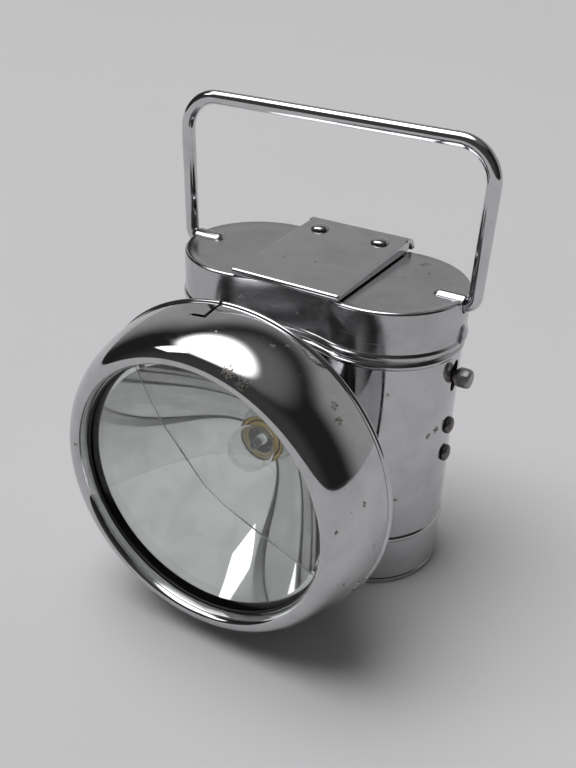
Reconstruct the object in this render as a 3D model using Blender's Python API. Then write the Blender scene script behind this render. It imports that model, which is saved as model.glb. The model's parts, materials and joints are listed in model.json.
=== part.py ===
"""Two-cell hand lamp: a lobed plated case with a wire bail, a hinged lid and a round lamp head.

The frame is metres with +Z up. The origin lies on the surface the lamp stands on, under the
middle of the case. +X runs along the case to the end that carries the switch, and the head
looks along -Y.
"""
import math

import bmesh
import bpy
from mathutils import Matrix, Vector

MM = 0.001

# Clearances shared by all pieces
GAP = 0.3 * MM
OVERRUN = 1.0 * MM
MERGE = 0.0001 * MM

# Sheet and wire stock
CASE_SHEET = 0.6 * MM
HEAD_SHEET = 0.7 * MM
STRAP_SHEET = 1.0 * MM
HINGE_SHEET = 1.2 * MM
BRASS_STRIP = 0.4 * MM
FIBRE_SHEET = 0.8 * MM
BAIL_WIRE_RADIUS = 1.63 * MM
LEAD_RADIUS = 0.45 * MM

# Two round cells that the case is sized round
CELL_RADIUS = 15.9 * MM
CELL_GAP = 0.4 * MM
CELL_SPACING = 2 * CELL_RADIUS + CELL_GAP
CELL_LENGTH = 57.5 * MM
CELL_BOTTOM = 5.0 * MM
CELL_EDGE = 0.6 * MM

# Plan section of case and lid: two round lobes with a shallow waist between them
LOBE_SPREAD = 1.0 * MM
CELL_CLEARANCE = 2.0 * MM
LOBE_CENTRE = CELL_SPACING / 2 + LOBE_SPREAD
CASE_LOBE_RADIUS = CELL_RADIUS + CELL_CLEARANCE + CASE_SHEET
END_REACH = LOBE_CENTRE + CASE_LOBE_RADIUS
WAIST_DEPTH = 2.9 * MM
LOBE_STEPS = 14
WAIST_STEPS = 4
SLOT_STEPS = 8

# Case heights
BASE_FLANGE_HEIGHT = 4.0 * MM
BASE_THICKNESS = 1.4 * MM
BASE_INSET = 0.15 * MM
BASE_CHAMFER = 0.3 * MM
LOW_BEAD_HEIGHT = 13.7 * MM
SEAM_RISE = 0.3 * MM
NECK_RISE = 3.2 * MM
LID_DEPTH = 12.2 * MM
SEAM_HEIGHT = CELL_BOTTOM + CELL_LENGTH + SEAM_RISE
NECK_HEIGHT = SEAM_HEIGHT + NECK_RISE
LID_TOP_HEIGHT = SEAM_HEIGHT + LID_DEPTH
BEAD_REACH = 0.45 * MM
LOW_BEAD_REACH = 0.36 * MM
BEAD_HALF_HEIGHT = 0.8 * MM

# Lid
LID_CLEARANCE = 0.25 * MM
LID_REACH = 0.4 * MM
LID_EDGE_RADIUS = 0.7 * MM
LID_BEAD_HEIGHT = 2.0 * MM
BUMP_LENGTH = 6.0 * MM
BUMP_DOME_SHARE = 0.6
PIP_HEIGHT = 4.6 * MM
PIP_WIDTH = 3.6 * MM
PIP_REACH = 1.1 * MM
PIP_TOP_SHARE = 0.5
PIP_CROWN_SHARE = 0.3
PIP_TIP_SHARE = 0.15
PIP_DROP_SHARE = 0.2

# Strap over the lid
STRAP_HALF_WIDTH = 13.7 * MM
STRAP_FRONT_RISE = 1.6 * MM
STRAP_REAR_RISE = 3.1 * MM
STRAP_EDGE_RADIUS = 0.7 * MM
STRAP_FRONT_INSET = 0.4 * MM
STRAP_REAR_INSET = 0.2 * MM
STRAP_FRONT_REACH = CASE_LOBE_RADIUS - STRAP_FRONT_INSET
STRAP_REAR_REACH = CASE_LOBE_RADIUS - STRAP_REAR_INSET
STRAP_LIP_DROP = 2.0 * MM
STRAP_LIP_LAP = 0.06 * MM
STRAP_RIVET_SPACING = 16.6 * MM
STRAP_RIVET_INSET = 5.3 * MM
STRAP_RIVET_PLACE = STRAP_REAR_REACH - STRAP_RIVET_INSET
STRAP_RIVET_HEAD = 2.3 * MM
STRAP_RIVET_DOME = 1.0 * MM
RIVET_SHANK_RADIUS = 0.8 * MM
RIVET_TAIL_RADIUS = 1.5 * MM
RIVET_TAIL_HEIGHT = 0.7 * MM
RIVET_STEPS = 10
RIVET_CROWN_SHARE = 0.12

# Hinge behind the waist
HINGE_AXIS_OUT = 2.8 * MM
HINGE_AXIS_DROP = 1.2 * MM
HINGE_AXIS_REACH = CASE_LOBE_RADIUS + HINGE_AXIS_OUT
HINGE_AXIS_HEIGHT = SEAM_HEIGHT - HINGE_AXIS_DROP
HINGE_PIN_RADIUS = 0.75 * MM
HINGE_PIN_CLEARANCE = 0.05 * MM
HINGE_HALF_WIDTH = 11.0 * MM
KNUCKLE_HALF_WIDTH = 4.4 * MM
LEAF_BEND_SHARE = 0.3
LEAF_SEAT = 0.39 * MM
LEAF_NECK_DROP = 4.4 * MM
ARM_BEND_SHARE = 0.35
ARM_END_SHARES = (0.2, 0.6)
HINGE_LEAF_LAP = 4.5 * MM
HINGE_LEAF_FRONT = STRAP_RIVET_PLACE - HINGE_LEAF_LAP
HINGE_LOWER_DROP = 13.0 * MM
HINGE_RIVET_SPACING = 14.0 * MM
HINGE_RIVET_DROP = 9.0 * MM
PIN_HEAD_RADIUS = 1.1 * MM
PIN_HEAD_LENGTH = 0.6 * MM

# Bail
BAIL_PIVOT_DROP = 1.7 * MM
BAIL_RISE = 34.2 * MM
BAIL_STAND_OFF = 0.42 * MM
BAIL_SPREAD = 0.65 * MM
BAIL_LAP = 5.0 * MM
BAIL_TOP_HEIGHT = LID_TOP_HEIGHT + BAIL_RISE
BAIL_FOOT_SPAN = END_REACH + LID_REACH + BAIL_STAND_OFF + BAIL_WIRE_RADIUS
BAIL_HALF_SPAN = BAIL_FOOT_SPAN + BAIL_SPREAD
BAIL_CORNER_RADIUS = 8.5 * MM
BAIL_FOOT_RADIUS = 2.6 * MM
BAIL_END_PLACE = END_REACH + LID_REACH - BAIL_LAP
BAIL_HOLE_CLEARANCE = 0.3 * MM

# Head: everything is turned about the lens axis
BEZEL_RADIUS = 39.1 * MM
BEZEL_RIM_WIDTH = 8.5 * MM
BEZEL_DEPTH = 13.9 * MM
BEZEL_CROWN_RISE = 2.95 * MM
FLOOR_CLEARANCE = 0.4 * MM
SADDLE_DEPTH = 3.4 * MM
SHELL_DEPTH = 19.15 * MM
SKIRT_LAP = 8.65 * MM
AXIS_HEIGHT = BEZEL_RADIUS + FLOOR_CLEARANCE
LENS_OPENING_RADIUS = BEZEL_RADIUS - BEZEL_RIM_WIDTH
SHELL_BACK_REACH = CASE_LOBE_RADIUS - WAIST_DEPTH + SADDLE_DEPTH
BEZEL_REAR_REACH = SHELL_BACK_REACH + SHELL_DEPTH
BEZEL_LIP_REACH = BEZEL_REAR_REACH + BEZEL_DEPTH
SHELL_FRONT_REACH = BEZEL_REAR_REACH + SKIRT_LAP
BEZEL_ROUND_WIDTH = 7.3 * MM
BEZEL_BEAD_RADIUS = 0.55 * MM
GASKET_THICKNESS = 0.5 * MM
GASKET_LAP = 0.8 * MM
GLASS_THICKNESS = 2.0 * MM
GLASS_INSET = 5.3 * MM
GLASS_RADIUS = BEZEL_RADIUS - GLASS_INSET
REFLECTOR_SHEET = 0.5 * MM
REFLECTOR_SET_BACK = 5.7 * MM
REFLECTOR_FLANGE_WIDTH = 4.62 * MM
REFLECTOR_VERTEX_REACH = SHELL_BACK_REACH + REFLECTOR_SET_BACK
REFLECTOR_RIM_RADIUS = GLASS_RADIUS - REFLECTOR_FLANGE_WIDTH
REFLECTOR_RIM_REACH = BEZEL_LIP_REACH - GASKET_THICKNESS - GLASS_THICKNESS - REFLECTOR_SHEET - 7 * GAP / 3
REFLECTOR_FOCUS = REFLECTOR_RIM_RADIUS ** 2 / (4 * (REFLECTOR_RIM_REACH - REFLECTOR_VERTEX_REACH))
REFLECTOR_HOLE_RADIUS = 5.95 * MM
REFLECTOR_COLLAR = 1.5 * MM
SHELL_SHOULDER_DROP = 1.3 * MM
BEZEL_SLIP = 0.3 * MM
BEAD_START_SHARE = 0.3
SHELL_LEAN_SHARES = (1.2, 0.6)
PIN_ROOT_SHARE = 0.5
SLOT_CLEARANCE = 3.0 * MM
BAYONET_PIN_RADIUS = 0.5 * MM
BAYONET_SLOT_TURN = math.radians(5.0)
BAYONET_SLOT_ANGLE = math.radians(-9.5)
BAYONET_COUNT = 3
BAYONET_PLACE = 6.2 * MM
HEAD_STEPS = 48
REFLECTOR_STEPS = 40

# Bulb and its holder
BULB_RADIUS = 5.5 * MM
BULB_CENTRE_RISE = 5.3 * MM
BULB_CENTRE_REACH = REFLECTOR_VERTEX_REACH + BULB_CENTRE_RISE
BULB_GLASS_WALL = 0.45 * MM
BULB_NECK_RADIUS = 3.4 * MM
BULB_CAP_RADIUS = 4.7 * MM
BULB_CAP_SHEET = 0.4 * MM
BULB_CAP_RISE = 0.9 * MM
BULB_CAP_LENGTH = 7.6 * MM
BULB_CAP_FRONT_REACH = REFLECTOR_VERTEX_REACH + BULB_CAP_RISE
BULB_CAP_BACK_REACH = BULB_CAP_FRONT_REACH - BULB_CAP_LENGTH
BULB_THREAD_DEPTH = 0.35 * MM
BULB_THREAD_COUNT = 3
BULB_TIP_RADIUS = 2.0 * MM
BULB_TIP_LENGTH = 1.2 * MM
STEM_RADIUS = 1.0 * MM
STEM_LENGTH = 5.0 * MM
FILAMENT_WIRE_RADIUS = 0.22 * MM
FILAMENT_HALF_SPAN = 1.5 * MM
FILAMENT_SHARE = 0.9
GLASS_FOOT_DROP = 1.2 * MM
CAP_LIP_LENGTH = 1.6 * MM
HOLDER_WALL = 0.6 * MM
HOLDER_SET_BACK = 3.2 * MM
HOLDER_BACK_REACH = BULB_CAP_BACK_REACH - HOLDER_SET_BACK
HOLDER_FLANGE_RADIUS = 8.2 * MM
BULB_STEPS = 20

# Saddle and its screws
SADDLE_HALF_WIDTH = 9.5 * MM
SADDLE_HALF_HEIGHT = 13.0 * MM
SADDLE_HOLE_RADIUS = 7.0 * MM
SCREW_PLACE = 10.0 * MM
SHELL_BACK_MARGIN = 3.0 * MM
SHELL_BACK_RADIUS = SCREW_PLACE + SHELL_BACK_MARGIN
SCREW_RADIUS = 1.3 * MM
SCREW_HEAD_RADIUS = 2.4 * MM
SCREW_HEAD_HEIGHT = 1.2 * MM
SCREW_EDGE_SHARES = (0.8, 0.5)
NUT_RADIUS = 2.6 * MM
NUT_HEIGHT = 1.6 * MM

# Switch on the +X end
SLOT_LENGTH = 8.0 * MM
SLOT_HALF_WIDTH = 1.5 * MM
KNOB_DROP = 7.4 * MM
KNOB_HEIGHT = SEAM_HEIGHT - KNOB_DROP
KNOB_RADIUS = 2.4 * MM
KNOB_LENGTH = 3.9 * MM
KNOB_SHANK_RADIUS = 1.1 * MM
SLIDER_THICKNESS = 0.6 * MM
SLIDER_HALF_WIDTH = 2.4 * MM
SLIDER_LENGTH = 5.6 * MM
STRIP_CLEARANCE = 5.4 * MM
STRIP_RIVET_INSET = 4.0 * MM
SWITCH_RIVET_SPACING = 7.8 * MM
STRIP_TAIL = 4.2 * MM
LEAF_LAP = 1.1 * MM
LEAF_TAIL_INSET = 1.5 * MM
SWITCH_STRIP_TOP = KNOB_HEIGHT - SLOT_LENGTH / 2 - STRIP_CLEARANCE
SWITCH_RIVET_UPPER = SWITCH_STRIP_TOP - STRIP_RIVET_INSET
SWITCH_RIVET_LOWER = SWITCH_RIVET_UPPER - SWITCH_RIVET_SPACING
SWITCH_STRIP_BOTTOM = SWITCH_RIVET_LOWER - STRIP_TAIL
SWITCH_LEAF_TOP = KNOB_HEIGHT + LEAF_LAP
SWITCH_LEAF_BOTTOM = SWITCH_STRIP_BOTTOM + LEAF_TAIL_INSET
SWITCH_RIVET_HEAD = 2.1 * MM
SWITCH_RIVET_DOME = 1.1 * MM
SWITCH_STRIP_HALF_WIDTH = 2.4 * MM
SWITCH_LEAF_HALF_WIDTH = 1.92 * MM
SWITCH_SEAT = 0.36 * MM
SWITCH_TAIL_HEIGHT = 0.28 * MM
KNOB_GRIP_SHARES = (0.55, 0.85, 1.0, 1.0, 0.86)
KNOB_PLACE_SHARES = (0.0, 0.12, 0.3, 0.85, 1.0)

# Battery and contacts
CAP_RADIUS = 4.8 * MM
CAP_HEIGHT = 1.6 * MM
CAP_EDGE_SHARES = (0.7, 0.8)
LINK_HALF_WIDTH = 4.0 * MM
CONTACT_HALF_WIDTH = 3.5 * MM
PAD_HALF_LENGTH = 22.0 * MM
PAD_HALF_WIDTH = 9.0 * MM
CONTACT_PIP_RADIUS = 2.2 * MM
CONTACT_BOW_SHARES = (0.2, 0.8, 1.0, 0.8, 0.0)
LEAD_DROP = 9.8 * MM
LEAD_START = math.radians(-112.0)
LEAD_END = math.radians(-14.0)


def finish(name, colour, roughness, metallic=0.0, alpha=1.0):
    """Principled material with one colour."""
    material = bpy.data.materials.new(name)
    material.use_nodes = True
    shader = material.node_tree.nodes["Principled BSDF"]
    shader.inputs["Base Color"].default_value = (*colour, 1.0)
    shader.inputs["Roughness"].default_value = roughness
    shader.inputs["Metallic"].default_value = metallic
    shader.inputs["Alpha"].default_value = alpha
    return material


def clear_scene():
    """Remove every object of the open scene."""
    for item in list(bpy.data.objects):
        bpy.data.objects.remove(item, do_unlink=True)


def add_object(name, mesh_data, material, parent=None, origin=None):
    """Link a closed mesh as one object, with its origin on its joint where one is given."""
    bmesh.ops.remove_doubles(mesh_data, verts=mesh_data.verts, dist=MERGE)
    bmesh.ops.recalc_face_normals(mesh_data, faces=mesh_data.faces)
    if origin is not None:
        bmesh.ops.translate(mesh_data, verts=mesh_data.verts, vec=-Vector(origin))
    mesh = bpy.data.meshes.new(name)
    mesh_data.to_mesh(mesh)
    mesh_data.free()
    mesh.materials.append(material)
    mesh.shade_smooth()
    mesh.set_sharp_from_angle(angle=math.radians(30.0))
    item = bpy.data.objects.new(name, mesh)
    bpy.context.collection.objects.link(item)
    if origin is not None:
        item.location = origin
    if parent is not None:
        item.parent = parent
        item.matrix_parent_inverse = Matrix.Translation(-Vector(parent.location))
    return item


def add_pivot(name, place, parent=None):
    """Empty that stands on a joint axis."""
    pivot = bpy.data.objects.new(name, None)
    bpy.context.collection.objects.link(pivot)
    pivot.location = place
    if parent is not None:
        pivot.parent = parent
        pivot.matrix_parent_inverse = Matrix.Translation(-Vector(parent.location))
    return pivot


def cutter(name, mesh_data, parent=None):
    """Closed mesh that only cuts or joins."""
    tool = add_object(name, mesh_data, bpy.data.materials[0], parent)
    tool.hide_render = True
    tool.display_type = "WIRE"
    return tool


def boolean(target, tool, operation="DIFFERENCE"):
    """Exact boolean that stays on its object."""
    step = target.modifiers.new(tool.name, "BOOLEAN")
    step.operation = operation
    step.solver = "EXACT"
    step.object = tool


def section(offset, height):
    """Points of the lobed outline, grown outwards by offset, at one height."""
    reach = (LOBE_CENTRE ** 2 + WAIST_DEPTH ** 2) / (2 * WAIST_DEPTH)
    waist_radius = reach - CASE_LOBE_RADIUS
    waist_centre = reach - WAIST_DEPTH
    meet = math.atan2(-waist_centre, -LOBE_CENTRE)
    sweep = math.pi + math.atan2(LOBE_CENTRE, waist_centre) * 2
    half_waist = math.atan2(LOBE_CENTRE, waist_centre)
    points = []
    for side in (1, -1):
        for step in range(LOBE_STEPS + 1):
            angle = meet + sweep * step / LOBE_STEPS
            radius = CASE_LOBE_RADIUS + offset
            points.append((side * (LOBE_CENTRE + radius * math.cos(angle)), side * radius * math.sin(angle)))
        for step in range(1, WAIST_STEPS):
            angle = math.pi * 1.5 + half_waist - 2 * half_waist * step / WAIST_STEPS
            radius = waist_radius - offset
            across = radius * math.cos(angle)
            points.append((side * across, side * (waist_centre + radius * math.sin(angle))))
    return [Vector((x, y, height)) for x, y in points]


def waist_face(offset, across):
    """Distance from the long axis to the case's face near the waist, at one place across."""
    reach = (LOBE_CENTRE ** 2 + WAIST_DEPTH ** 2) / (2 * WAIST_DEPTH)
    radius = reach - CASE_LOBE_RADIUS - offset
    meet = LOBE_CENTRE * radius / reach
    if abs(across) < meet:
        return reach - WAIST_DEPTH - math.sqrt(radius ** 2 - across ** 2)
    return math.sqrt((CASE_LOBE_RADIUS + offset) ** 2 - (abs(across) - LOBE_CENTRE) ** 2)


def loft(rings, closed=False):
    """Skin consecutive rings of points, with end caps or closed on itself."""
    mesh_data = bmesh.new()
    loops = [[mesh_data.verts.new(point) for point in ring] for ring in rings]
    pairs = list(zip(loops, loops[1:]))
    if closed:
        pairs.append((loops[-1], loops[0]))
    else:
        mesh_data.faces.new(loops[0])
        mesh_data.faces.new(loops[-1])
    for low, high in pairs:
        count = len(low)
        for index in range(count):
            after = (index + 1) % count
            mesh_data.faces.new((low[index], low[after], high[after], high[index]))
    return mesh_data


def lobed(levels, closed=False):
    """Loft of the lobed outline through (offset, height) levels."""
    return loft([section(offset, height) for offset, height in levels], closed)


def turned(profile, steps, closed=False):
    """Turn (radius, reach) points about the lens axis; reach counts towards -Y."""
    rings = []
    for step in range(steps):
        angle = math.tau * step / steps
        rings.append([Vector((radius * math.sin(angle), -reach, AXIS_HEIGHT + radius * math.cos(angle)))
                      for radius, reach in profile])
    mesh_data = bmesh.new()
    loops = [[mesh_data.verts.new(point) for point in ring] for ring in rings]
    count = len(profile)
    last = count if closed else count - 1
    for step in range(steps):
        here, there = loops[step], loops[(step + 1) % steps]
        for index in range(last):
            after = (index + 1) % count
            corners = [here[index], here[after], there[after], there[index]]
            mesh_data.faces.new(corners)
    if not closed:
        for index in (0, -1):
            if profile[index][0] > 0:
                mesh_data.faces.new([loop[index] for loop in loops])
    bmesh.ops.remove_doubles(mesh_data, verts=mesh_data.verts, dist=MERGE)
    bmesh.ops.dissolve_degenerate(mesh_data, edges=mesh_data.edges, dist=MERGE)
    loose = [edge for edge in mesh_data.edges if not edge.link_faces]
    bmesh.ops.delete(mesh_data, geom=loose, context="EDGES")
    return mesh_data


def arc(centre, radii, start, end, steps):
    """Points of a quarter or half ellipse, as (first, second) pairs."""
    points = []
    for step in range(steps + 1):
        angle = start + (end - start) * step / steps
        points.append((centre[0] + radii[0] * math.cos(angle), centre[1] + radii[1] * math.sin(angle)))
    return points


def ring_point(radius, step, steps):
    """One corner of a flat ring, half a step round from its first axis."""
    angle = math.tau * (step + 0.5) / steps
    return Vector((radius * math.cos(angle), radius * math.sin(angle), 0))


def rod(start, end, radius, steps=16, dome=0.0, end_radius=None):
    """Round bar between two points, with an optional domed far end."""
    start, end = Vector(start), Vector(end)
    along = (end - start).normalized()
    turn = along.to_track_quat("Z", "Y").to_matrix()
    last = radius if end_radius is None else end_radius
    rings = [(start, radius), (end, last)]
    dome_steps = 4
    if dome > 0:
        for step in range(1, dome_steps):
            angle = math.pi / 2 * step / dome_steps
            rings.append((end + along * dome * math.sin(angle), last * math.cos(angle)))
    points = []
    for centre, size in rings:
        points.append([centre + turn @ ring_point(size, step, steps) for step in range(steps)])
    return loft(points)


def stepped_rod(start, axis, stations, steps=16):
    """Turned pin along any axis: stations are (distance, radius) pairs."""
    start, along = Vector(start), Vector(axis).normalized()
    turn = along.to_track_quat("Z", "Y").to_matrix()
    points = []
    for distance, size in stations:
        points.append([start + along * distance + turn @ ring_point(size, step, steps)
                       for step in range(steps)])
    return loft(points)


def slab(low, high):
    """Plain block between two corners."""
    mesh_data = bmesh.new()
    low, high = Vector(low), Vector(high)
    size = high - low
    middle = (high + low) / 2
    place = Matrix.Translation(middle) @ Matrix.Diagonal((*size, 1.0))
    bmesh.ops.create_cube(mesh_data, size=1.0, matrix=place)
    return mesh_data


def prism(outline, vector):
    """Extrude a closed outline of points along a vector."""
    vector = Vector(vector)
    return loft([outline, [point + vector for point in outline]])


def band(path, thickness, half_width):
    """Sheet strip bent along a path in the YZ plane, centred on the YZ plane."""
    outer, inner = [], []
    for index, point in enumerate(path):
        before = path[max(index - 1, 0)]
        after = path[min(index + 1, len(path) - 1)]
        run = Vector((after[0] - before[0], after[1] - before[1])).normalized()
        side = Vector((-run.y, run.x)) * thickness / 2
        outer.append((point[0] + side.x, point[1] + side.y))
        inner.append((point[0] - side.x, point[1] - side.y))
    outline = [Vector((-half_width, y, z)) for y, z in outer + inner[::-1]]
    return prism(outline, (2 * half_width, 0, 0))


def rivet(start, axis, shank, head_radius, dome, tail_radius=RIVET_TAIL_RADIUS,
          tail_height=RIVET_TAIL_HEIGHT):
    """Domed rivet: tail, shank and a rounded head, from the tail's end outwards."""
    seat = tail_height + shank
    stations = [(0, tail_radius), (tail_height, tail_radius), (tail_height, RIVET_SHANK_RADIUS),
                (seat, RIVET_SHANK_RADIUS), (seat, head_radius)]
    for size, distance in arc((0, seat), (head_radius, dome), 0, math.pi / 2, 4)[1:-1]:
        stations.append((distance, size))
    stations.append((seat + dome, head_radius * RIVET_CROWN_SHARE))
    return stepped_rod(start, axis, stations, RIVET_STEPS)


def case_pieces(finishes):
    """Case wall with its beads and neck, and the base under it."""
    bead_low = LOW_BEAD_HEIGHT - BEAD_HALF_HEIGHT
    bead_high = LOW_BEAD_HEIGHT + BEAD_HALF_HEIGHT
    seam_bead = SEAM_HEIGHT - GAP - BEAD_HALF_HEIGHT
    foot = BASE_THICKNESS + GAP
    neck = -(CASE_SHEET + LID_CLEARANCE)
    outer = [(0, foot), (0, bead_low), (LOW_BEAD_REACH, LOW_BEAD_HEIGHT - BEAD_HALF_HEIGHT / 2),
             (LOW_BEAD_REACH, LOW_BEAD_HEIGHT + BEAD_HALF_HEIGHT / 2), (0, bead_high),
             (0, seam_bead - BEAD_HALF_HEIGHT), (BEAD_REACH, seam_bead - BEAD_HALF_HEIGHT / 2),
             (BEAD_REACH, seam_bead + BEAD_HALF_HEIGHT / 2), (neck / 2, seam_bead + BEAD_HALF_HEIGHT),
             (neck, SEAM_HEIGHT + BEAD_HALF_HEIGHT), (neck, NECK_HEIGHT)]
    inner = [(neck - CASE_SHEET, NECK_HEIGHT), (neck - CASE_SHEET, SEAM_HEIGHT),
             (-CASE_SHEET, seam_bead - BEAD_HALF_HEIGHT), (-CASE_SHEET, foot)]
    case = add_object("case_body", lobed(outer + inner, closed=True), finishes["chrome"])
    end_wall = END_REACH
    slot = stadium_x(KNOB_HEIGHT, SLOT_LENGTH, SLOT_HALF_WIDTH,
                     end_wall - CASE_SHEET - OVERRUN, end_wall + OVERRUN)
    boolean(case, cutter("slot_cut", slot))
    for index, height in enumerate((SWITCH_RIVET_UPPER, SWITCH_RIVET_LOWER)):
        hole = rod((end_wall - CASE_SHEET - OVERRUN, 0, height), (end_wall + OVERRUN, 0, height),
                   RIVET_SHANK_RADIUS + GAP)
        boolean(case, cutter(f"switch_hole_cut_{index}", hole))
    front = waist_face(OVERRUN, 0)
    back = waist_face(-CASE_SHEET - OVERRUN, 0)
    bulb_hole = rod((0, -front, AXIS_HEIGHT), (0, -back, AXIS_HEIGHT), SADDLE_HOLE_RADIUS, 24)
    boolean(case, cutter("bulb_hole_cut", bulb_hole))
    for index, side in enumerate((1, -1)):
        height = AXIS_HEIGHT + side * SCREW_PLACE
        hole = rod((0, -front, height), (0, -back, height), SCREW_RADIUS + GAP)
        boolean(case, cutter(f"screw_hole_cut_{index}", hole))
        across = side * HINGE_RIVET_SPACING / 2
        level = HINGE_AXIS_HEIGHT - HINGE_RIVET_DROP
        hole = rod((across, back, level), (across, CASE_LOBE_RADIUS + OVERRUN, level),
                   RIVET_SHANK_RADIUS + GAP)
        boolean(case, cutter(f"leaf_hole_cut_{index}", hole))
    flange_out = -(CASE_SHEET + GAP)
    base = [(-BASE_INSET - BASE_CHAMFER, 0), (-BASE_INSET, BASE_CHAMFER), (-BASE_INSET, BASE_THICKNESS),
            (flange_out, BASE_THICKNESS), (flange_out, BASE_FLANGE_HEIGHT),
            (flange_out - CASE_SHEET, BASE_FLANGE_HEIGHT), (flange_out - CASE_SHEET, BASE_THICKNESS)]
    add_object("base_plate", lobed(base), finishes["chrome_base"])
    return case


def stadium_x(height, length, half_width, near, far):
    """Upright slot shape that runs along X."""
    straight = length / 2 - half_width
    size = (half_width, half_width)
    upper = arc((0, height + straight), size, 0, math.pi, SLOT_STEPS)
    lower = arc((0, height - straight), size, math.pi, math.tau, SLOT_STEPS)
    outline = [Vector((near, across, level)) for across, level in upper + lower]
    return prism(outline, (far - near, 0, 0))


def lid_pieces(finishes, hinge):
    """Deep lid with pressed bumps over the bail's ends and a catch pip on each end."""
    low = SEAM_HEIGHT + GAP
    bead_top = low + LID_BEAD_HEIGHT
    reach = LID_REACH
    edge = LID_EDGE_RADIUS
    outer = [(reach, low), (reach + BEAD_REACH, low + BEAD_HALF_HEIGHT / 2),
             (reach + BEAD_REACH, bead_top - BEAD_HALF_HEIGHT / 2), (reach, bead_top)]
    for across, height in arc((reach - edge, LID_TOP_HEIGHT - edge), (edge, edge), 0, math.pi / 2, 3):
        outer.append((across, height))
    inner_top = LID_TOP_HEIGHT - CASE_SHEET
    inner = [(reach - CASE_SHEET - edge / 2, inner_top), (reach - CASE_SHEET, inner_top - edge / 2),
             (reach - CASE_SHEET, low + GAP), (reach - CASE_SHEET, low)]
    rings = [section(offset, height) for offset, height in outer]
    rings_inner = [section(offset, height) for offset, height in inner]
    mesh_data = bmesh.new()
    loops = [[mesh_data.verts.new(point) for point in ring] for ring in rings + rings_inner]
    split = len(rings)
    for index, (first, second) in enumerate(zip(loops, loops[1:] + loops[:1])):
        if index == split - 1:
            mesh_data.faces.new(first)
            mesh_data.faces.new(second)
            continue
        for point in range(len(first)):
            after = (point + 1) % len(first)
            mesh_data.faces.new((first[point], first[after], second[after], second[point]))
    lid = add_object("lid_shell", mesh_data, finishes["chrome_lid"], hinge)
    pivot_height = LID_TOP_HEIGHT - BAIL_PIVOT_DROP
    end_wall = END_REACH + reach
    hole_radius = BAIL_WIRE_RADIUS + BAIL_HOLE_CLEARANCE
    bump_radius = hole_radius + CASE_SHEET
    for index, side in enumerate((1, -1)):
        bump_end = (side * (end_wall - GAP), 0, pivot_height)
        bump_start = (side * (end_wall - BUMP_LENGTH), 0, pivot_height)
        bump = rod(bump_end, bump_start, bump_radius, 20, dome=bump_radius * BUMP_DOME_SHARE)
        boolean(lid, cutter(f"bump_{index}", bump, hinge), "UNION")
        pip_centre = pivot_height - bump_radius - PIP_HEIGHT
        pip = catch_pip(side, end_wall, pip_centre)
        boolean(lid, cutter(f"pip_{index}", pip, hinge), "UNION")
        hollow = rod((side * (end_wall + OVERRUN), 0, pivot_height), bump_start, hole_radius, 20,
                     dome=hole_radius * BUMP_DOME_SHARE)
        boolean(lid, cutter(f"bump_hollow_{index}", hollow, hinge))
        across = side * STRAP_RIVET_SPACING / 2
        hole = rod((across, STRAP_RIVET_PLACE, LID_TOP_HEIGHT - CASE_SHEET - OVERRUN / 2),
                   (across, STRAP_RIVET_PLACE, LID_TOP_HEIGHT + OVERRUN / 2), RIVET_SHANK_RADIUS + GAP)
        boolean(lid, cutter(f"lid_rivet_hole_{index}", hole, hinge))
    return lid


def catch_pip(side, end_wall, centre_height):
    """Pressed three-sided pip on the lid's end wall."""
    sunk = CASE_SHEET / 2
    half = PIP_WIDTH / 2
    root = side * (end_wall - sunk)
    top = centre_height + PIP_HEIGHT / 2
    low = centre_height - PIP_HEIGHT / 2
    base = [Vector((root, -half, low)), Vector((root, half, low)),
            Vector((root, half * PIP_TOP_SHARE, top)), Vector((root, -half * PIP_TOP_SHARE, top))]
    crown_x = side * (end_wall + PIP_REACH)
    crown_low = low + PIP_HEIGHT * PIP_DROP_SHARE
    wide, slim = half * PIP_CROWN_SHARE, half * PIP_TIP_SHARE
    crown = [Vector((crown_x, -wide, crown_low)), Vector((crown_x, wide, crown_low)),
             Vector((crown_x, slim, crown_low + GAP)), Vector((crown_x, -slim, crown_low + GAP))]
    return loft([base, crown])


def leaf_back():
    """How far back the upper hinge leaf stands clear of the lid's bead."""
    return CASE_LOBE_RADIUS + LID_REACH + BEAD_REACH + GAP


def strap_top(place):
    """Height of the strap's top face at one place from front to rear."""
    run = (place + STRAP_FRONT_REACH) / (STRAP_FRONT_REACH + STRAP_REAR_REACH)
    return LID_TOP_HEIGHT + STRAP_FRONT_RISE + (STRAP_REAR_RISE - STRAP_FRONT_RISE) * run


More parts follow.
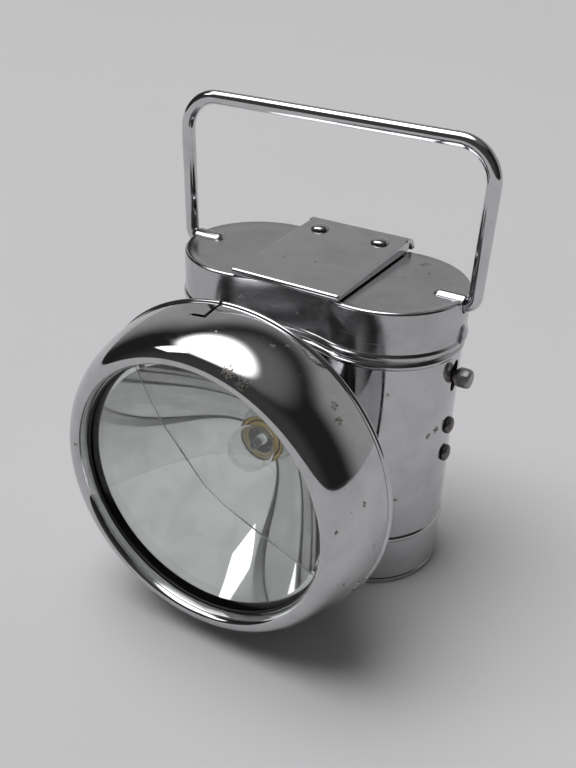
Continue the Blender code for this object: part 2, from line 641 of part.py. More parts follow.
def strap_pieces(finishes, hinge):
    """Raised strap over the lid, its rivets and the hinge leaf that it covers."""
    floor = LID_TOP_HEIGHT + GAP
    half = STRAP_HALF_WIDTH
    edge = STRAP_EDGE_RADIUS
    sheet = STRAP_SHEET
    rings = []
    stations = [-STRAP_FRONT_REACH, -STRAP_FRONT_REACH / 2, 0, STRAP_REAR_REACH / 2, STRAP_REAR_REACH]
    for place in stations:
        top = strap_top(place)
        corner = arc((half - edge, top - edge), (edge, edge), 0, math.pi / 2, 3)
        outer = [(half, floor)] + corner
        outer += [(-x, z) for x, z in corner[::-1]] + [(-half, floor)]
        under = [(half - sheet, floor), (half - sheet, top - sheet)]
        outline = outer + [(-x, z) for x, z in under] + under[::-1]
        rings.append([Vector((x, place, z)) for x, z in outline])
    strap = add_object("lid_strap", loft(rings), finishes["chrome_lid"], hinge)
    front_roll = rod((-half, -STRAP_FRONT_REACH, strap_top(-STRAP_FRONT_REACH) - edge),
                     (half, -STRAP_FRONT_REACH, strap_top(-STRAP_FRONT_REACH) - edge), edge + GAP / 2, 12)
    boolean(strap, cutter("strap_roll", front_roll, hinge), "UNION")
    rear_top = strap_top(STRAP_REAR_REACH)
    lip_low = rear_top - STRAP_LIP_DROP - sheet
    turn = leaf_back() + HINGE_SHEET + GAP + sheet - STRAP_REAR_REACH
    lip = []
    for y, z in arc((STRAP_REAR_REACH, rear_top - turn), (turn, turn), math.pi / 2, 0, 4):
        lip.append(Vector((-half, y, z)))
    lip.append(Vector((-half, STRAP_REAR_REACH + turn, lip_low)))
    lip.append(Vector((-half, STRAP_REAR_REACH + turn - sheet, lip_low)))
    for y, z in arc((STRAP_REAR_REACH, rear_top - turn), (turn - sheet, turn - sheet), 0, math.pi / 2, 4):
        lip.append(Vector((-half, y, z)))
    lip[-1] = Vector((-half, STRAP_REAR_REACH - sheet, rear_top - STRAP_LIP_LAP - sheet))
    lip[0] = Vector((-half, STRAP_REAR_REACH - sheet, rear_top - STRAP_LIP_LAP))
    boolean(strap, cutter("strap_lip", prism(lip, (2 * half, 0, 0)), hinge), "UNION")
    leaf_top = rear_top - sheet - GAP
    axis_y, axis_z = HINGE_AXIS_REACH, HINGE_AXIS_HEIGHT
    barrel = HINGE_PIN_RADIUS + HINGE_PIN_CLEARANCE + HINGE_SHEET
    middle_y = leaf_back() + HINGE_SHEET / 2
    leaf_level = LID_TOP_HEIGHT + GAP + HINGE_SHEET / 2
    bend = HINGE_SHEET * LEAF_BEND_SHARE
    path = [(HINGE_LEAF_FRONT, leaf_level), (middle_y - HINGE_SHEET, leaf_level),
            (middle_y - bend, leaf_level - bend), (middle_y, leaf_level - HINGE_SHEET),
            (middle_y, axis_z + barrel / 2)]
    knuckle = KNUCKLE_HALF_WIDTH
    leaf = add_object("hinge_leaf_upper", band(path, HINGE_SHEET, HINGE_HALF_WIDTH), finishes["steel"], hinge)
    hollow = HINGE_PIN_RADIUS + HINGE_PIN_CLEARANCE
    barrel_solid = rod((-HINGE_HALF_WIDTH, axis_y, axis_z), (HINGE_HALF_WIDTH, axis_y, axis_z), barrel, 20)
    boolean(leaf, cutter("upper_barrel", barrel_solid, hinge), "UNION")
    gate = slab((-knuckle - GAP, axis_y - barrel - OVERRUN, axis_z - barrel - OVERRUN),
                (knuckle + GAP, axis_y + barrel + OVERRUN, axis_z + barrel + GAP))
    boolean(leaf, cutter("upper_gate", gate, hinge))
    bore = rod((-HINGE_HALF_WIDTH - OVERRUN, axis_y, axis_z), (HINGE_HALF_WIDTH + OVERRUN, axis_y, axis_z),
               hollow, 20)
    boolean(leaf, cutter("upper_bore", bore, hinge))
    for index, side in enumerate((1, -1)):
        across = side * STRAP_RIVET_SPACING / 2
        top = strap_top(STRAP_RIVET_PLACE)
        name = "left" if side < 0 else "right"
        hole = rod((across, STRAP_RIVET_PLACE, floor - GAP / 2), (across, STRAP_RIVET_PLACE, top + OVERRUN),
                   RIVET_SHANK_RADIUS + GAP)
        tool = cutter(f"strap_hole_{index}", hole, hinge)
        boolean(strap, tool)
        boolean(leaf, tool)
        tail = LID_TOP_HEIGHT - CASE_SHEET - GAP * 2 - FIBRE_SHEET - RIVET_TAIL_HEIGHT
        shank = top + GAP - tail - RIVET_TAIL_HEIGHT
        body = rivet((across, STRAP_RIVET_PLACE, tail), (0, 0, 1), shank, STRAP_RIVET_HEAD, STRAP_RIVET_DOME)
        add_object(f"strap_rivet_{name}", body, finishes["chrome_rivet"], hinge)


def hinge_pieces(finishes):
    """Fixed hinge leaf on the case, its rivets and the hinge pin."""
    axis_y, axis_z = HINGE_AXIS_REACH, HINGE_AXIS_HEIGHT
    barrel = HINGE_PIN_RADIUS + HINGE_PIN_CLEARANCE + HINGE_SHEET
    knuckle = KNUCKLE_HALF_WIDTH
    low = axis_z - HINGE_LOWER_DROP
    neck_low = axis_z - LEAF_NECK_DROP
    seat = LEAF_SEAT
    outer_face, inner_face = [], []
    steps = 8
    for step in range(steps + 1):
        across = -HINGE_HALF_WIDTH + 2 * HINGE_HALF_WIDTH * step / steps
        near = waist_face(seat, across)
        inner_face.append(Vector((across, near, low)))
        outer_face.append(Vector((across, near + HINGE_SHEET, low)))
    plate = prism(outer_face + inner_face[::-1], (0, 0, neck_low - low))
    leaf = add_object("hinge_leaf_lower", plate, finishes["steel"])
    start_y = waist_face(seat, 0) + HINGE_SHEET / 2
    path = [(start_y, neck_low - HINGE_SHEET * 2), (start_y, neck_low - HINGE_SHEET),
            (start_y + (axis_y - start_y) * ARM_BEND_SHARE, neck_low),
            (axis_y - HINGE_SHEET * ARM_END_SHARES[0], axis_z - barrel * ARM_END_SHARES[1])]
    boolean(leaf, cutter("leaf_arm", band(path, HINGE_SHEET, knuckle - GAP), None), "UNION")
    barrel_solid = rod((-knuckle + GAP, axis_y, axis_z), (knuckle - GAP, axis_y, axis_z), barrel, 20)
    boolean(leaf, cutter("lower_barrel", barrel_solid), "UNION")
    bore = rod((-knuckle - OVERRUN, axis_y, axis_z), (knuckle + OVERRUN, axis_y, axis_z),
               HINGE_PIN_RADIUS + HINGE_PIN_CLEARANCE, 20)
    boolean(leaf, cutter("lower_bore", bore))
    level = HINGE_AXIS_HEIGHT - HINGE_RIVET_DROP
    for index, side in enumerate((1, -1)):
        name = "left" if side < 0 else "right"
        across = side * HINGE_RIVET_SPACING / 2
        inside = waist_face(-CASE_SHEET - GAP, across + side * RIVET_TAIL_RADIUS)
        outside = waist_face(seat + GAP + HINGE_SHEET, across + side * SWITCH_RIVET_HEAD)
        hole = rod((across, inside - OVERRUN, level), (across, outside + OVERRUN, level),
                   RIVET_SHANK_RADIUS + GAP)
        boolean(leaf, cutter(f"leaf_rivet_hole_{index}", hole))
        start = inside - GAP - RIVET_TAIL_HEIGHT
        body = rivet((across, start, level), (0, 1, 0), outside - inside + GAP, SWITCH_RIVET_HEAD,
                     SWITCH_RIVET_DOME)
        add_object(f"leaf_rivet_{name}", body, finishes["rivet"])
    reach = HINGE_HALF_WIDTH + GAP
    near, far = PIN_HEAD_LENGTH, PIN_HEAD_LENGTH + 2 * reach
    stations = [(0, PIN_HEAD_RADIUS), (near, PIN_HEAD_RADIUS), (near, HINGE_PIN_RADIUS),
                (far, HINGE_PIN_RADIUS), (far, PIN_HEAD_RADIUS), (far + PIN_HEAD_LENGTH, PIN_HEAD_RADIUS)]
    pin = stepped_rod((-reach - PIN_HEAD_LENGTH, axis_y, axis_z), (1, 0, 0), stations, 20)
    add_object("hinge_pin", pin, finishes["steel"])


def bail_piece(finishes, hinge):
    """Wire bail with its ends turned in through the lid's end walls."""
    pivot_height = LID_TOP_HEIGHT - BAIL_PIVOT_DROP
    origin = Vector((0, 0, pivot_height))
    foot, corner = BAIL_FOOT_RADIUS, BAIL_CORNER_RADIUS
    half = [(BAIL_END_PLACE, 0), ((BAIL_END_PLACE + BAIL_FOOT_SPAN) / 2, 0)]
    half += arc((BAIL_FOOT_SPAN - foot, foot), (foot, foot), -math.pi / 2, 0, 5)
    rise = BAIL_TOP_HEIGHT - pivot_height
    leg_steps = 3
    for step in range(1, leg_steps):
        share = step / leg_steps
        half.append((BAIL_FOOT_SPAN + (BAIL_HALF_SPAN - BAIL_FOOT_SPAN) * share,
                     foot + (rise - corner - foot) * share))
    half += arc((BAIL_HALF_SPAN - corner, rise - corner), (corner, corner), 0, math.pi / 2, 7)
    points = half + [(-x, z) for x, z in half[::-1]]
    curve = bpy.data.curves.new("bail_handle", "CURVE")
    curve.dimensions = "3D"
    curve.bevel_depth = BAIL_WIRE_RADIUS
    curve.bevel_resolution = 3
    curve.use_fill_caps = True
    spline = curve.splines.new("POLY")
    spline.points.add(len(points) - 1)
    for point, (x, z) in zip(spline.points, points):
        point.co = (x, 0, z, 1)
    curve.materials.append(finishes["chrome_wire"])
    bail = bpy.data.objects.new("bail_handle", curve)
    bpy.context.collection.objects.link(bail)
    bail.location = origin
    bail.parent = hinge
    bail.matrix_parent_inverse = Matrix.Translation(-Vector(hinge.location))


def bezel_profile():
    """Outline of the bezel's sheet, from the lip over the crown to the rolled rear edge."""
    crown = BEZEL_LIP_REACH + BEZEL_CROWN_RISE
    crown_radius = BEZEL_RADIUS - BEZEL_ROUND_WIDTH
    depth = crown - BEZEL_REAR_REACH
    sheet = HEAD_SHEET
    lip = arc((crown_radius, BEZEL_LIP_REACH), (crown_radius - LENS_OPENING_RADIUS, BEZEL_CROWN_RISE),
              math.pi, math.pi / 2, 3)
    over = arc((crown_radius, BEZEL_REAR_REACH), (BEZEL_ROUND_WIDTH - GAP, depth), math.pi / 2, 0, 7)[1:]
    under = arc((crown_radius, BEZEL_REAR_REACH), (BEZEL_ROUND_WIDTH - GAP - sheet, depth - sheet),
                0, math.pi / 2, 5)
    bead = BEZEL_BEAD_RADIUS
    rear = BEZEL_REAR_REACH
    roll = [(BEZEL_RADIUS, rear - bead * BEAD_START_SHARE), (BEZEL_RADIUS, rear - bead),
            (BEZEL_RADIUS - sheet, rear - bead)]
    inside = [(crown_radius - GAP / 2, BEZEL_LIP_REACH + GAP), (LENS_OPENING_RADIUS + sheet, BEZEL_LIP_REACH)]
    return lip + over + roll + under[:-1] + inside


def shell_radius(reach, offset):
    """Radius of the head shell at one distance in front of the case, grown by offset."""
    share = (reach - SHELL_BACK_REACH) / (BEZEL_REAR_REACH - SHELL_BACK_REACH)
    front = BEZEL_RADIUS - SHELL_SHOULDER_DROP - HEAD_SHEET
    squares = SHELL_BACK_RADIUS ** 2 + (front ** 2 - SHELL_BACK_RADIUS ** 2) * share
    return math.sqrt(squares) + offset


def head_pieces(finishes, twist):
    """Bezel with glass and gasket, the reflector and the shell behind them."""
    sheet_ring = turned(bezel_profile(), HEAD_STEPS, closed=True)
    bezel = add_object("bezel_ring", sheet_ring, finishes["chrome_bezel"], twist)
    inner_radius = BEZEL_RADIUS - GAP - HEAD_SHEET
    pin_reach = BEZEL_REAR_REACH + BAYONET_PLACE
    for index in range(BAYONET_COUNT):
        angle = BAYONET_SLOT_ANGLE + math.tau * index / BAYONET_COUNT
        slot = bayonet_slot(angle, inner_radius, pin_reach)
        boolean(bezel, cutter(f"bayonet_slot_{index}", slot, twist))
    gasket_front = BEZEL_LIP_REACH - GAP
    gasket_back = gasket_front - GASKET_THICKNESS
    inner = LENS_OPENING_RADIUS - GASKET_LAP
    ring = [(inner, gasket_front), (GLASS_RADIUS, gasket_front), (GLASS_RADIUS, gasket_back),
            (inner, gasket_back)]
    add_object("lens_gasket", turned(ring, HEAD_STEPS, closed=True), finishes["rubber"], twist)
    glass_front = gasket_back - GAP / 3
    glass_back = glass_front - GLASS_THICKNESS
    disc = [(0, glass_front), (GLASS_RADIUS, glass_front), (GLASS_RADIUS, glass_back), (0, glass_back)]
    add_object("lens_glass", turned(disc, HEAD_STEPS), finishes["glass"], twist)
    reflector_piece(finishes, glass_back - GAP)
    shell_piece(finishes)


def bayonet_slot(angle, inner_radius, pin_reach):
    """J-shaped opening in the bezel's skirt: in from the rear edge, then round."""
    half = BAYONET_PIN_RADIUS + GAP
    near, far = inner_radius - SLOT_CLEARANCE, BEZEL_RADIUS + OVERRUN
    turn = BAYONET_SLOT_TURN
    half_turn = half / inner_radius
    rear = BEZEL_REAR_REACH - OVERRUN
    corners = [(angle - half_turn, pin_reach - half), (angle - half_turn, pin_reach + half),
               (angle + turn + half_turn, pin_reach + half), (angle + turn + half_turn, rear),
               (angle + turn - half_turn, rear), (angle + turn - half_turn, pin_reach - half)]
    rings = []
    for radius in (near, far):
        ring = []
        for turned_by, reach in corners:
            up = AXIS_HEIGHT + radius * math.cos(turned_by)
            ring.append(Vector((radius * math.sin(turned_by), -reach, up)))
        rings.append(ring)
    return loft(rings)


def reflector_reach(radius):
    """Reach of the reflector's bright face at one radius of its parabola."""
    return REFLECTOR_VERTEX_REACH + radius ** 2 / (4 * REFLECTOR_FOCUS)


def reflector_piece(finishes, front):
    """Parabolic reflector with a flange behind the glass and a collar round the bulb's hole."""
    sheet = REFLECTOR_SHEET
    flange_reach = front - sheet
    rim = REFLECTOR_RIM_RADIUS
    hole = REFLECTOR_HOLE_RADIUS
    steps = 6
    inside = []
    outside = []
    for step in range(steps + 1):
        radius = hole + (rim - hole) * step / steps
        inside.append((radius, reflector_reach(radius)))
        slope = radius / (2 * REFLECTOR_FOCUS)
        lean = math.hypot(1, slope)
        outside.append((radius + sheet * slope / lean, reflector_reach(radius) - sheet / lean))
    collar_back = reflector_reach(hole) - REFLECTOR_COLLAR
    profile = [(hole, collar_back)] + inside + [(GLASS_RADIUS, front), (GLASS_RADIUS, flange_reach)]
    profile += [(rim + 2 * sheet, flange_reach)] + outside[::-1][1:-1]
    profile += [(hole + sheet, reflector_reach(hole) - sheet), (hole + sheet, collar_back)]
    profile[len(inside)] = (rim, front)
    add_object("reflector", turned(profile, REFLECTOR_STEPS, closed=True), finishes["silver"])


def shell_piece(finishes):
    """Bowl-shaped head shell with its bayonet pins, bolted to the saddle."""
    sheet = HEAD_SHEET
    rim = BEZEL_RADIUS - GAP - HEAD_SHEET - BEZEL_SLIP
    steps = 4
    outside, inside = [], []
    for step in range(steps + 1):
        reach = SHELL_BACK_REACH + (BEZEL_REAR_REACH - BEZEL_BEAD_RADIUS - SHELL_BACK_REACH) * step / steps
        outside.append((shell_radius(reach, 0), reach))
        inner_radius = shell_radius(reach + sheet, -sheet * SHELL_LEAN_SHARES[0])
        inside.append((inner_radius, reach + sheet * SHELL_LEAN_SHARES[1]))
    hole = SADDLE_HOLE_RADIUS
    front = []
    skirt_start = BEZEL_REAR_REACH + OVERRUN
    skirt_steps = 2
    for step in range(skirt_steps + 1):
        reach = skirt_start + (SHELL_FRONT_REACH - skirt_start) * step / skirt_steps
        front.append((min(rim, bezel_inner_radius(reach) - BEZEL_SLIP), reach))
    outer = [(hole, SHELL_BACK_REACH)] + outside + front
    back = [(radius - sheet, reach) for radius, reach in front[::-1]]
    inner = back + inside[::-1][:-1] + [(SHELL_BACK_RADIUS - sheet, SHELL_BACK_REACH + sheet),
                                        (hole, SHELL_BACK_REACH + sheet)]
    shell = add_object("head_shell", turned(outer + inner, HEAD_STEPS, closed=True), finishes["chrome_shell"])
    pin_reach = BEZEL_REAR_REACH + BAYONET_PLACE
    for index in range(BAYONET_COUNT):
        angle = BAYONET_SLOT_ANGLE + math.tau * index / BAYONET_COUNT
        out = Vector((math.sin(angle), 0, math.cos(angle)))
        centre = Vector((0, -pin_reach, AXIS_HEIGHT))
        root = bezel_inner_radius(pin_reach) - BEZEL_SLIP - sheet * PIN_ROOT_SHARE
        end = bezel_inner_radius(pin_reach) + HEAD_SHEET
        pin = rod(centre + out * root, centre + out * end, BAYONET_PIN_RADIUS, 12)
        boolean(shell, cutter(f"bayonet_pin_{index}", pin), "UNION")
    for index, side in enumerate((1, -1)):
        height = AXIS_HEIGHT + side * SCREW_PLACE
        hole_cut = rod((0, -SHELL_BACK_REACH + OVERRUN, height),
                       (0, -SHELL_BACK_REACH - sheet - OVERRUN, height), SCREW_RADIUS + GAP)
        boolean(shell, cutter(f"shell_screw_hole_{index}", hole_cut))
    saddle_pieces(finishes)


def bezel_inner_radius(reach):
    """Radius of the bezel's inner face at one distance."""
    crown = BEZEL_LIP_REACH + BEZEL_CROWN_RISE
    crown_radius = BEZEL_RADIUS - BEZEL_ROUND_WIDTH
    depth = crown - BEZEL_REAR_REACH - HEAD_SHEET
    share = min(max((reach - BEZEL_REAR_REACH) / depth, 0.0), 1.0)
    return crown_radius + (BEZEL_ROUND_WIDTH - GAP - HEAD_SHEET) * math.sqrt(1 - share ** 2)


def saddle_pieces(finishes):
    """Saddle that fits the waist, with two screws and nuts that hold the head to the case."""
    front = SHELL_BACK_REACH - GAP
    steps = 8
    outline = []
    low = AXIS_HEIGHT - SADDLE_HALF_HEIGHT
    for step in range(steps + 1):
        across = -SADDLE_HALF_WIDTH + 2 * SADDLE_HALF_WIDTH * step / steps
        outline.append(Vector((across, -waist_face(GAP, across), low)))
    outline += [Vector((SADDLE_HALF_WIDTH, -front, low)), Vector((-SADDLE_HALF_WIDTH, -front, low))]
    saddle = add_object("head_saddle", prism(outline, (0, 0, 2 * SADDLE_HALF_HEIGHT)), finishes["zinc"])
    back = -waist_face(0, 0) + OVERRUN
    bulb_hole = rod((0, -front - OVERRUN, AXIS_HEIGHT), (0, back, AXIS_HEIGHT), SADDLE_HOLE_RADIUS, 24)
    boolean(saddle, cutter("saddle_hole", bulb_hole))
    wall_inside = -waist_face(-CASE_SHEET, 0)
    for side, name in ((1, "upper"), (-1, "lower")):
        height = AXIS_HEIGHT + side * SCREW_PLACE
        hole = rod((0, -front - OVERRUN, height), (0, back, height), SCREW_RADIUS + GAP)
        boolean(saddle, cutter(f"saddle_screw_hole_{name}", hole))
        head_front = -SHELL_BACK_REACH - HEAD_SHEET - GAP - SCREW_HEAD_HEIGHT
        run = -head_front + wall_inside + NUT_HEIGHT + 3 * GAP
        edge_radius = SCREW_HEAD_RADIUS * SCREW_EDGE_SHARES[0]
        edge_height = SCREW_HEAD_HEIGHT * SCREW_EDGE_SHARES[1]
        stations = [(0, edge_radius), (edge_height, SCREW_HEAD_RADIUS),
                    (SCREW_HEAD_HEIGHT, SCREW_HEAD_RADIUS), (SCREW_HEAD_HEIGHT, SCREW_RADIUS),
                    (run, SCREW_RADIUS)]
        screw = stepped_rod((0, head_front, height), (0, 1, 0), stations)
        add_object(f"head_screw_{name}", screw, finishes["steel"])
        near = wall_inside + GAP
        nut_body = rod((0, near, height), (0, near + NUT_HEIGHT, height), NUT_RADIUS, 6)
        nut = add_object(f"head_nut_{name}", nut_body, finishes["steel"])
        bore = rod((0, near - OVERRUN, height), (0, near + NUT_HEIGHT + OVERRUN, height), SCREW_RADIUS + GAP)
        boolean(nut, cutter(f"nut_bore_{name}", bore))


def bulb_pieces(finishes):
    """Screw-cap bulb, its holder and the centre contact."""
    wall = BULB_GLASS_WALL
    centre = BULB_CENTRE_REACH
    neck = BULB_NECK_RADIUS
    neck_reach = BULB_CAP_FRONT_REACH - GLASS_FOOT_DROP
    start = math.asin(neck / BULB_RADIUS)
    outside = arc((0, centre), (BULB_RADIUS, BULB_RADIUS), start - math.pi / 2, math.pi / 2, 7)
    inside = arc((0, centre), (BULB_RADIUS - wall, BULB_RADIUS - wall), math.pi / 2, start - math.pi / 2, 7)
    outside[-1] = (0, centre + BULB_RADIUS)
    inside[0] = (0, centre + BULB_RADIUS - wall)
    profile = [(neck, neck_reach)] + outside + inside + [(neck - wall, neck_reach)]
    add_object("bulb_glass", turned(profile, BULB_STEPS, closed=True), finishes["bulb_glass"])
    cap_out = BULB_CAP_RADIUS
    front, back = BULB_CAP_FRONT_REACH, BULB_CAP_BACK_REACH
    pitch = (front - back) / (BULB_THREAD_COUNT + 1)
    cap = [(neck + GAP, front), (cap_out, front)]
    for index in range(BULB_THREAD_COUNT):
        crest = front - pitch * (index + 1)
        cap += [(cap_out - BULB_THREAD_DEPTH, crest + pitch / 2), (cap_out, crest)]
    inner = cap_out - BULB_CAP_SHEET - BULB_THREAD_DEPTH
    cap += [(cap_out - BULB_THREAD_DEPTH, back), (BULB_TIP_RADIUS + GAP, back),
            (BULB_TIP_RADIUS + GAP, back + BULB_CAP_SHEET), (inner, back + BULB_CAP_SHEET),
            (inner, front - CAP_LIP_LENGTH), (neck + GAP, front - GLASS_FOOT_DROP)]
    add_object("bulb_cap", turned(cap, BULB_STEPS, closed=True), finishes["brass"])
    tip = [(0, back + BULB_CAP_SHEET), (BULB_TIP_RADIUS, back + BULB_CAP_SHEET),
           (BULB_TIP_RADIUS, back - BULB_TIP_LENGTH / 2), (BULB_TIP_RADIUS / 2, back - BULB_TIP_LENGTH),
           (0, back - BULB_TIP_LENGTH)]
    add_object("bulb_tip", turned(tip, BULB_STEPS), finishes["solder"])
    stem_front = neck_reach + STEM_LENGTH
    flare = neck - wall - GAP
    stations = [(0, flare), (STEM_RADIUS / 2, flare), (STEM_RADIUS * 2, STEM_RADIUS),
                (STEM_LENGTH, STEM_RADIUS)]
    stem = add_object("bulb_stem", stepped_rod((0, -neck_reach, AXIS_HEIGHT), (0, -1, 0), stations, 12),
                      finishes["bulb_glass"])
    wire = FILAMENT_WIRE_RADIUS
    for side in (1, -1):
        foot = Vector((side * (STEM_RADIUS - wire * 2), -(stem_front - OVERRUN), AXIS_HEIGHT))
        top = Vector((side * FILAMENT_HALF_SPAN, -(centre + OVERRUN), AXIS_HEIGHT))
        boolean(stem, cutter(f"support_{side}", rod(foot, top, wire, 8)), "UNION")
    coil_reach = -(centre + OVERRUN - wire)
    coil = rod((-FILAMENT_HALF_SPAN, coil_reach, AXIS_HEIGHT), (FILAMENT_HALF_SPAN, coil_reach, AXIS_HEIGHT),
               wire * FILAMENT_SHARE, 8)
    boolean(stem, cutter("filament", coil), "UNION")
    bore = cap_out + GAP
    sleeve = bore + HOLDER_WALL
    collar_back = reflector_reach(REFLECTOR_HOLE_RADIUS) - REFLECTOR_COLLAR
    flange = collar_back - GAP
    holder = [(bore, BULB_CAP_FRONT_REACH - GAP), (sleeve, BULB_CAP_FRONT_REACH - GAP), (sleeve, flange),
              (HOLDER_FLANGE_RADIUS, flange), (HOLDER_FLANGE_RADIUS, flange - HOLDER_WALL),
              (sleeve, flange - HOLDER_WALL), (sleeve, HOLDER_BACK_REACH), (bore, HOLDER_BACK_REACH)]
    add_object("bulb_holder", turned(holder, BULB_STEPS, closed=True), finishes["brass"])
    disc_front = HOLDER_BACK_REACH + FIBRE_SHEET
    disc_radius = bore - GAP
    contact_top = back - BULB_TIP_LENGTH - GAP
    contact_radius = BULB_TIP_RADIUS
    disc = [(0, disc_front), (disc_radius, disc_front), (disc_radius, HOLDER_BACK_REACH),
            (0, HOLDER_BACK_REACH)]
    button = [(0, disc_front + GAP), (contact_radius, disc_front + GAP),
              (contact_radius, disc_front + BRASS_STRIP),
              (0, max(contact_top, disc_front + GAP + BRASS_STRIP))]
    return disc, button


def contact_pieces(finishes):
    """Fibre disc that closes the bulb's holder, and the centre contact in it."""
    disc, button = bulb_pieces(finishes)
    add_object("holder_insulator", turned(disc, BULB_STEPS), finishes["fibre"])
    add_object("centre_contact", turned(button, BULB_STEPS), finishes["brass"])


def switch_pieces(finishes, slide):
    """Knob in its slot, the slider behind it and the riveted contact strip inside the end wall."""
    outer = END_REACH
    inner = outer - CASE_SHEET
    slider_out = inner - SWITCH_SEAT
    slider_in = slider_out - SLIDER_THICKNESS
    length = outer + GAP - slider_out
    stations = [(0, KNOB_SHANK_RADIUS), (length, KNOB_SHANK_RADIUS)]
    for share, place in zip(KNOB_GRIP_SHARES, KNOB_PLACE_SHARES):
        stations.append((length + KNOB_LENGTH * place, KNOB_RADIUS * share))
    knob = stepped_rod((slider_out + GAP / 3, 0, KNOB_HEIGHT), (1, 0, 0), stations, 14)
    add_object("switch_knob", knob, finishes["dull_steel"], slide)
    half = SLIDER_HALF_WIDTH
    slider = slab((slider_in, -half, KNOB_HEIGHT - SLIDER_LENGTH / 2),
                  (slider_out, half, KNOB_HEIGHT + SLIDER_LENGTH / 2))
    add_object("switch_slider", slider, finishes["fibre"], slide)
    half = SWITCH_STRIP_HALF_WIDTH
    strip_out = inner - SWITCH_SEAT
    strip_in = strip_out - SLIDER_THICKNESS
    strip_body = slab((strip_in, -half, SWITCH_STRIP_BOTTOM), (strip_out, half, SWITCH_STRIP_TOP))
    strip = add_object("switch_strip", strip_body, finishes["fibre"])
    leaf_out = strip_in - GAP
    leaf_in = leaf_out - BRASS_STRIP
    leaf_body = slab((leaf_in, -SWITCH_LEAF_HALF_WIDTH, SWITCH_LEAF_BOTTOM),
                     (leaf_out, SWITCH_LEAF_HALF_WIDTH, SWITCH_LEAF_TOP))
    leaf = add_object("switch_leaf", leaf_body, finishes["brass"])
    tail_height = SWITCH_TAIL_HEIGHT
    for height, name in ((SWITCH_RIVET_UPPER, "upper"), (SWITCH_RIVET_LOWER, "lower")):
        hole = rod((leaf_in - OVERRUN, 0, height), (strip_out + OVERRUN, 0, height), RIVET_SHANK_RADIUS + GAP)
        tool = cutter(f"strip_hole_{name}", hole)
        boolean(strip, tool)
        boolean(leaf, tool)
        start = leaf_in - GAP - tail_height
        body = rivet((start, 0, height), (1, 0, 0), outer + GAP - start - tail_height, SWITCH_RIVET_HEAD,
                     SWITCH_RIVET_DOME, RIVET_TAIL_RADIUS, tail_height)
        add_object(f"switch_rivet_{name}", body, finishes["rivet"])


def battery_pieces(finishes, hinge):
    """Two round cells, the link under them and the contact strip inside the lid."""
    top = CELL_BOTTOM + CELL_LENGTH
    for side, name in ((-1, "left"), (1, "right")):
        centre = side * CELL_SPACING / 2
        stations = [(0, CELL_RADIUS - CELL_EDGE), (CELL_EDGE, CELL_RADIUS),
                    (CELL_LENGTH - CELL_EDGE, CELL_RADIUS), (CELL_LENGTH, CELL_RADIUS - CELL_EDGE)]
        cell = stepped_rod((centre, 0, CELL_BOTTOM), (0, 0, 1), stations, 32)
        add_object(f"cell_{name}", cell, finishes["cell"])
        edge_height, edge_radius = CAP_HEIGHT * CAP_EDGE_SHARES[0], CAP_RADIUS * CAP_EDGE_SHARES[1]
        cap = [(0, CAP_RADIUS), (edge_height, CAP_RADIUS), (CAP_HEIGHT, edge_radius)]
        cap_body = stepped_rod((centre, 0, top + GAP), (0, 0, 1), cap, 20)
        add_object(f"cell_cap_{name}", cap_body, finishes["brass"])
    reach = CELL_SPACING / 2 + LINK_HALF_WIDTH
    pad_low = BASE_THICKNESS + GAP
    pad_high = pad_low + FIBRE_SHEET
    inset = -(2 * CASE_SHEET + 3 * GAP)
    add_object("base_pad", lobed([(inset, pad_low), (inset, pad_high)]), finishes["fibre"])
    link_low = pad_high + GAP
    link = bridge_strip(reach, LINK_HALF_WIDTH, link_low, CELL_BOTTOM - GAP - link_low)
    add_object("cell_link", link, finishes["brass"])
    ceiling = LID_TOP_HEIGHT - CASE_SHEET - GAP
    pad_body = slab((-PAD_HALF_LENGTH, -PAD_HALF_WIDTH, ceiling - FIBRE_SHEET),
                    (PAD_HALF_LENGTH, STRAP_RIVET_PLACE + RIVET_TAIL_RADIUS, ceiling))
    lid_pad = add_object("lid_pad", pad_body, finishes["fibre"], hinge)
    contact_top = ceiling - FIBRE_SHEET - GAP
    for side, name in ((-1, "left"), (1, "right")):
        across = side * STRAP_RIVET_SPACING / 2
        hole = rod((across, STRAP_RIVET_PLACE, ceiling - FIBRE_SHEET - OVERRUN),
                   (across, STRAP_RIVET_PLACE, ceiling + GAP), RIVET_SHANK_RADIUS + GAP)
        boolean(lid_pad, cutter(f"pad_hole_{name}", hole, hinge))
    cap_top = top + GAP + CAP_HEIGHT
    contact = bridge_strip(reach, CONTACT_HALF_WIDTH, contact_top, cap_top + GAP - contact_top)
    add_object("lid_contact", contact, finishes["brass"], hinge)


def bridge_strip(reach, half_width, level, rise):
    """Brass strip that lies flat in the middle and bows to a rounded foot at each end."""
    sheet = BRASS_STRIP if rise > 0 else -BRASS_STRIP
    middle = CELL_SPACING / 2
    bow = CONTACT_PIP_RADIUS * 2
    places = (-reach, -middle - bow / 2, -middle, -middle + bow / 2, -middle + 2 * bow)
    shape = list(zip(places, CONTACT_BOW_SHARES))
    shape += [(-across, share) for across, share in shape[::-1]]
    lift = rise - sheet
    lower = [Vector((across, -half_width, level + lift * share)) for across, share in shape]
    upper = [Vector((across, -half_width, level + lift * share + sheet)) for across, share in shape]
    return prism(lower + upper[::-1], (0, 2 * half_width, 0))


